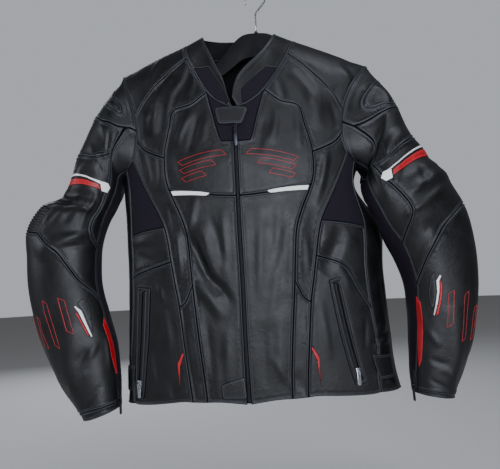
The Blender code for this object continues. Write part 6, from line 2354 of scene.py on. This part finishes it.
@dataclass
class SleeveTrims:
    """Coloured inlays and raised facets of the sleeves, as rows of (psi, along)."""

    # a band's upper and lower edge
    white_band: ClassVar[dict[Side, tuple[Rows, Rows]]] = {
        Side.RIGHT: (((-2, 195), (44, 188.5), (84, 172), (110, 151), (126, 130)),
                     ((-2, 199), (44, 192.5), (84, 176), (116, 156))),
        Side.LEFT: (((0, 191.5), (36, 187), (80, 175), (108, 161), (122, 150)),
                    ((0, 195), (36, 190.5), (80, 178.5), (111, 164)))}
    red_band: ClassVar[dict[Side, tuple[Rows, Rows]]] = {
        Side.RIGHT: (((-2, 201.5), (44, 195), (84, 179), (113, 160)),
                     ((-2, 211), (44, 204), (84, 189), (119, 169))),
        Side.LEFT: (((0, 197), (36, 192.5), (80, 181), (108, 169)),
                    ((0, 208), (36, 203.5), (80, 191), (113, 178)))}
    # corners
    block: ClassVar[dict[Side, Rows]] = {
        Side.RIGHT: ((117, 142), (128, 127.5), (136, 131), (134, 160), (121, 171), (113.5, 158)),
        Side.LEFT: ((115, 156), (122, 148), (130, 155), (126, 173), (114.5, 181), (108.5, 165))}
    dart_red: ClassVar[dict[Side, Rows]] = {
        Side.RIGHT: ((105, 450), (109.3, 453.5), (117.4, 500), (113.6, 499)),
        Side.LEFT: ((107.9, 402), (104.6, 397), (104.4, 422), (105.6, 443), (110, 470.5), (115.2, 471),
                    (111, 451), (108.4, 426))}
    dart_white: ClassVar[dict[Side, Rows]] = {
        Side.RIGHT: ((106, 440), (109.4, 440.5), (116.5, 450.9), (121.6, 503.3), (118.5, 503.8),
                     (110.5, 453.1)),
        Side.LEFT: ((106.2, 390), (104.8, 394.7), (108.2, 403.4), (109, 426.3), (111.6, 451.3), (116, 471.3),
                    (118.6, 471.5), (115.4, 451.3), (113, 426.3), (113.3, 402.4))}
    facet: ClassVar[dict[Side, Rows]] = {
        Side.RIGHT: ((113, 436.6), (121.5, 429), (128.5, 433.2), (132, 442.5), (128.8, 466.8), (123.3, 497.5),
                     (119, 455)),
        Side.LEFT: ((113.6, 384), (122, 396), (127, 425), (125, 448), (119.8, 462), (116.6, 451),
                    (114.2, 426), (114.5, 402))}
    cuff: ClassVar[dict[Side, Rows]] = {
        Side.RIGHT: ((146.8, 482), (155, 465), (160.6, 498), (162.5, 592), (160, 592), (147.4, 541)),
        Side.LEFT: ((152.6, 431), (141, 448), (137.2, 472), (136.6, 495), (136.6, 551), (143.5, 571),
                    (150, 520), (152, 470))}

    def build(self, side: Side) -> None:
        """All trims of one sleeve.

        Args:
            side: The wearer's side.
        """
        form = SLEEVES[side]
        chart = SleevePieces.chart
        for name, (top, low), finish, lift in (
                ("sleeve_band_white", self.white_band[side], Finish.WHITE, 1.0),
                ("sleeve_band_red", self.red_band[side], Finish.RED, 0.9)):
            outline = join(smooth(chart(top)), smooth(chart(low))[::-1])
            Cloth(name + side.tag, form, outline, finish, grid=4.0, rings=(0.8, 1.8), edge=PLAIN, lift=lift,
                  thick=0.8, lined=False, stitched=False).build()
        # piece, corners, finish, lift, thickness, rounding
        for name, rows, finish, lift, thick, rounding in (
                ("sleeve_block_white", self.block, Finish.WHITE, 1.05, 0.8, 0.6),
                ("forearm_dart_red", self.dart_red, Finish.RED, 0.7, 0.7, 0.6),
                ("forearm_dart_white", self.dart_white, Finish.WHITE, 1.1, 0.8, 0.6),
                ("forearm_facet", self.facet, Finish.LEATHER, 0.9, 0.8, 1.0),
                ("cuff_inset_red", self.cuff, Finish.RED, 0.8, 0.7, 2.0)):
            Trims().patch(name + side.tag, chart(rows[side]), finish, lift, thick, rounding, (), form)


@dataclass
class Hanger:
    """Broad arched hanger, moulded in one, with the wire hook that turns in it."""

    tips: tuple[float, float] = (-212.0, 187.0)
    seat: float = 4.9      # from the shoulder's outer face down to the hanger

    def stations(self) -> list[tuple[float, float, float, float]]:
        """Across, top, bottom and half thickness, from tip to tip.

        Returns:
            Rows in mm.
        """
        rows = [(0, -86, -134, 6), (28, -88, -138, 6), (54, -113, -160, 6), (80, -145, -178, 7),
                (100, -154, -186, 8), (150, -156, -188, 9)]
        arms = []
        for sign, tip in ((-1, self.tips[0]), (1, self.tips[1])):
            arm = [(sign * x, top, bottom, half) for x, top, bottom, half in rows[1:]]
            for share, rise, bottom, half in ((0.35, 0.64, -186, 10), (0.55, 1, -184, 10.7),
                                              (0.7, 1, -181, 11.1), (0.85, 1, -178, 11.6), (1, 1, -174, 12)):
                x = sign * (150 + (abs(tip) - 150) * share)
                top = -156 + (self.seat_height(x) + 156) * rise
                arm.append((x, top, min(bottom, top - 12), half))
            arms.append(arm)
        return arms[0][::-1] + [rows[0]] + arms[1]

    def seat_height(self, x: float) -> float:
        """Height of the hanger's top where it carries the shoulder from inside.

        Args:
            x: Place across, in mm.

        Returns:
            Height in mm.
        """
        theta = np.arange(-90, 91)
        ridge = body_points(theta.astype(float), np.zeros(len(theta)))
        k = int(np.argmin(np.abs(ridge[:, 0] - x)))
        normal = OVER.normals(np.array([theta[k] * ROUND_MM]), np.array([0.0]))[0]
        return float(ridge[k, 2] - self.seat / normal[2])

    def build(self) -> None:
        """The hanger's body."""
        rows = self.stations()
        fine = []
        for a, b in zip(rows, rows[1:]):
            for f in (0, 0.25, 0.5, 0.75):
                fine.append(tuple(p + (q - p) * f for p, q in zip(a, b)))
        fine.append(rows[-1])
        table = np.array(fine)
        kernel = np.array((1, 2, 3, 2, 1)) / 9
        for column in (1, 2):
            padded = np.pad(table[:, column], 2, mode="edge")
            table[2:-2, column] = np.convolve(padded, kernel, "valid")[2:-2]
        rings = []
        for x, top, bottom, half in table:
            ring = [(x, -half * s, top - SHOULDER_RADIUS + math.sqrt(SHOULDER_RADIUS ** 2 - (half * s) ** 2)
                     - 1.2 * s ** 4) for s in (-1, -0.8, -0.5, 0, 0.5, 0.8, 1)]
            ring += [(x, -half, bottom + 2), (x, -half + 0.6, bottom + 0.6), (x, -half + 2, bottom),
                     (x, half - 2, bottom), (x, half - 0.6, bottom + 0.6), (x, half, bottom + 2)]
            rings.append(ring)
        mesh = to_mesh("hanger_moulding", lay_grid(np.array(rings, float), closed=True, capped=True))
        obj = make_object("hanger_moulding", mesh, [Finish.HANGER], nodes=("hanger",))
        bevel = obj.modifiers.new("edges", "BEVEL")
        bevel.width = 0.8 * MM
        bevel.segments = 2
        bevel.limit_method = "ANGLE"
        bevel.angle_limit = math.radians(50)
        self.hook()

    def hook(self) -> None:
        """The wire hook and the bead that it turns in."""
        path = [(0, 0, -88), (0, 0, -70), (0, 0, -49), (0.6, 0, -47), (1.2, 0, -45)]
        for k in range(41):
            angle = math.radians(-15 + 220 * k / 40)
            path.append((math.cos(angle) * 19.8, 0, math.sin(angle) * 19.8 - 18))
        points = np.array(path, float)
        make_object("hook_wire", to_mesh("hook_wire", tube(points, 1.8, 14)), [Finish.STEEL], nodes=("hook",))
        bm = bmesh.new()
        bmesh.ops.create_uvsphere(bm, u_segments=20, v_segments=12, radius=3.6 * MM)
        bmesh.ops.scale(bm, vec=Vector((1, 1, 0.75)), verts=bm.verts)
        bmesh.ops.translate(bm, vec=Vector((0, 0, -84.5)) * MM, verts=bm.verts)
        make_object("hook_bead", to_mesh("hook_bead", bm), [Finish.BEAD])


@dataclass
class Stage:
    """Pale floor, soft light and the camera at the photograph's angle."""

    lens: float = 43.2
    camera_at: tuple[float, float, float] = (-0.02967, -1.146, -0.5602)
    pitch: float = 4.0
    roll: float = 2.6
    floor_at: float = -1.02
    # name, place, what it faces, size, power
    lights: ClassVar[tuple[tuple, ...]] = (
        ("key", (0.45, -2.3, -0.45), (0, 0, -0.55), 1.5, 54),
        ("top", (0.9, -0.9, 1.3), (0, 0, -0.4), 1.1, 20),
        ("side", (-2.0, -0.7, 0.1), (0, 0, -0.45), 1.1, 15),
        ("back", (-0.6, 1.9, 0.4), (0, 0, -0.5), 1.6, 24))
    sky_light: float = 0.2     # the sky is dim as a light, so that black leather keeps its depth
    sky_seen: float = 0.6      # and pale behind the jacket

    def build(self) -> None:
        """Camera, lights, floor and sky."""
        camera = bpy.data.cameras.new("camera")
        camera.lens = self.lens
        camera.sensor_width = 36
        camera.sensor_fit = "HORIZONTAL"
        obj = bpy.data.objects.new("camera", camera)
        bpy.context.scene.collection.objects.link(obj)
        pitch, roll = math.radians(self.pitch), math.radians(self.roll)
        forward = Vector((0, math.cos(pitch), math.sin(pitch)))
        right = Vector((1, 0, 0))
        up = right.cross(forward)
        across = right * math.cos(roll) - up * math.sin(roll)
        rise = right * math.sin(roll) + up * math.cos(roll)
        frame = Matrix((across, rise, -forward)).transposed().to_4x4()
        frame.translation = Vector(self.camera_at)
        obj.matrix_world = frame
        bpy.context.scene.camera = obj
        bm = bmesh.new()
        bmesh.ops.create_circle(bm, cap_ends=True, radius=9.0, segments=64)
        bmesh.ops.translate(bm, vec=(0, 0, self.floor_at), verts=bm.verts)
        floor = bpy.data.objects.new("floor", to_mesh("floor", bm))
        material, _, shader = new_tree("floor painted pale", {"Roughness": 0.9})
        shader.inputs["Base Color"].default_value = linear("#c9c8c5")
        floor.data.materials.append(material)
        bpy.context.scene.collection.objects.link(floor)
        for row in self.lights:
            self.light(*row)
        world = bpy.data.worlds.new("sky")
        bpy.context.scene.world = world
        world.use_nodes = True
        background = world.node_tree.nodes["Background"]
        background.inputs[0].default_value = linear("#dde1e8")
        eye = add_node(world.node_tree, "ShaderNodeLightPath").outputs["Is Camera Ray"]
        seen = add_node(world.node_tree, "ShaderNodeMath", {"operation": "MULTIPLY_ADD"},
                        {0: eye, 1: self.sky_seen - self.sky_light, 2: self.sky_light}).outputs[0]
        world.node_tree.links.new(seen, background.inputs[1])

    @staticmethod
    def light(name: str, at: tuple, target: tuple, size: float, power: float) -> None:
        """A square soft light that faces a target.

        Args:
            name: The light's name.
            at: Its place in metres.
            target: What it faces.
            size: Side of the square.
            power: Watts.
        """
        lamp = bpy.data.lights.new(name, "AREA")
        lamp.size = size
        lamp.energy = power
        lamp.color = linear("#eef3ff")[:3]
        obj = bpy.data.objects.new(name, lamp)
        bpy.context.scene.collection.objects.link(obj)
        line = Vector(target) - Vector(at)
        obj.rotation_euler = line.to_track_quat("-Z", "Y").to_euler()
        obj.location = at


def main() -> None:
    """Loads the frame and dresses it."""
    logging.basicConfig(level=logging.INFO, format="%(name)s %(message)s")
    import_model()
    fronts = Fronts()
    sleeves = SleevePieces()
    for side in Side:
        fronts.build(side)
        sleeves.build(side)
    Back().build()
    CollarPieces().build()
    Trims().build()
    ZipSet().build()
    for side in Side:
        SleeveTrims().build(side)
    OutlinedBars().build()
    STITCHES.build()
    Hanger().build()
    Stage().build()


if __name__ == "__main__":
    main()
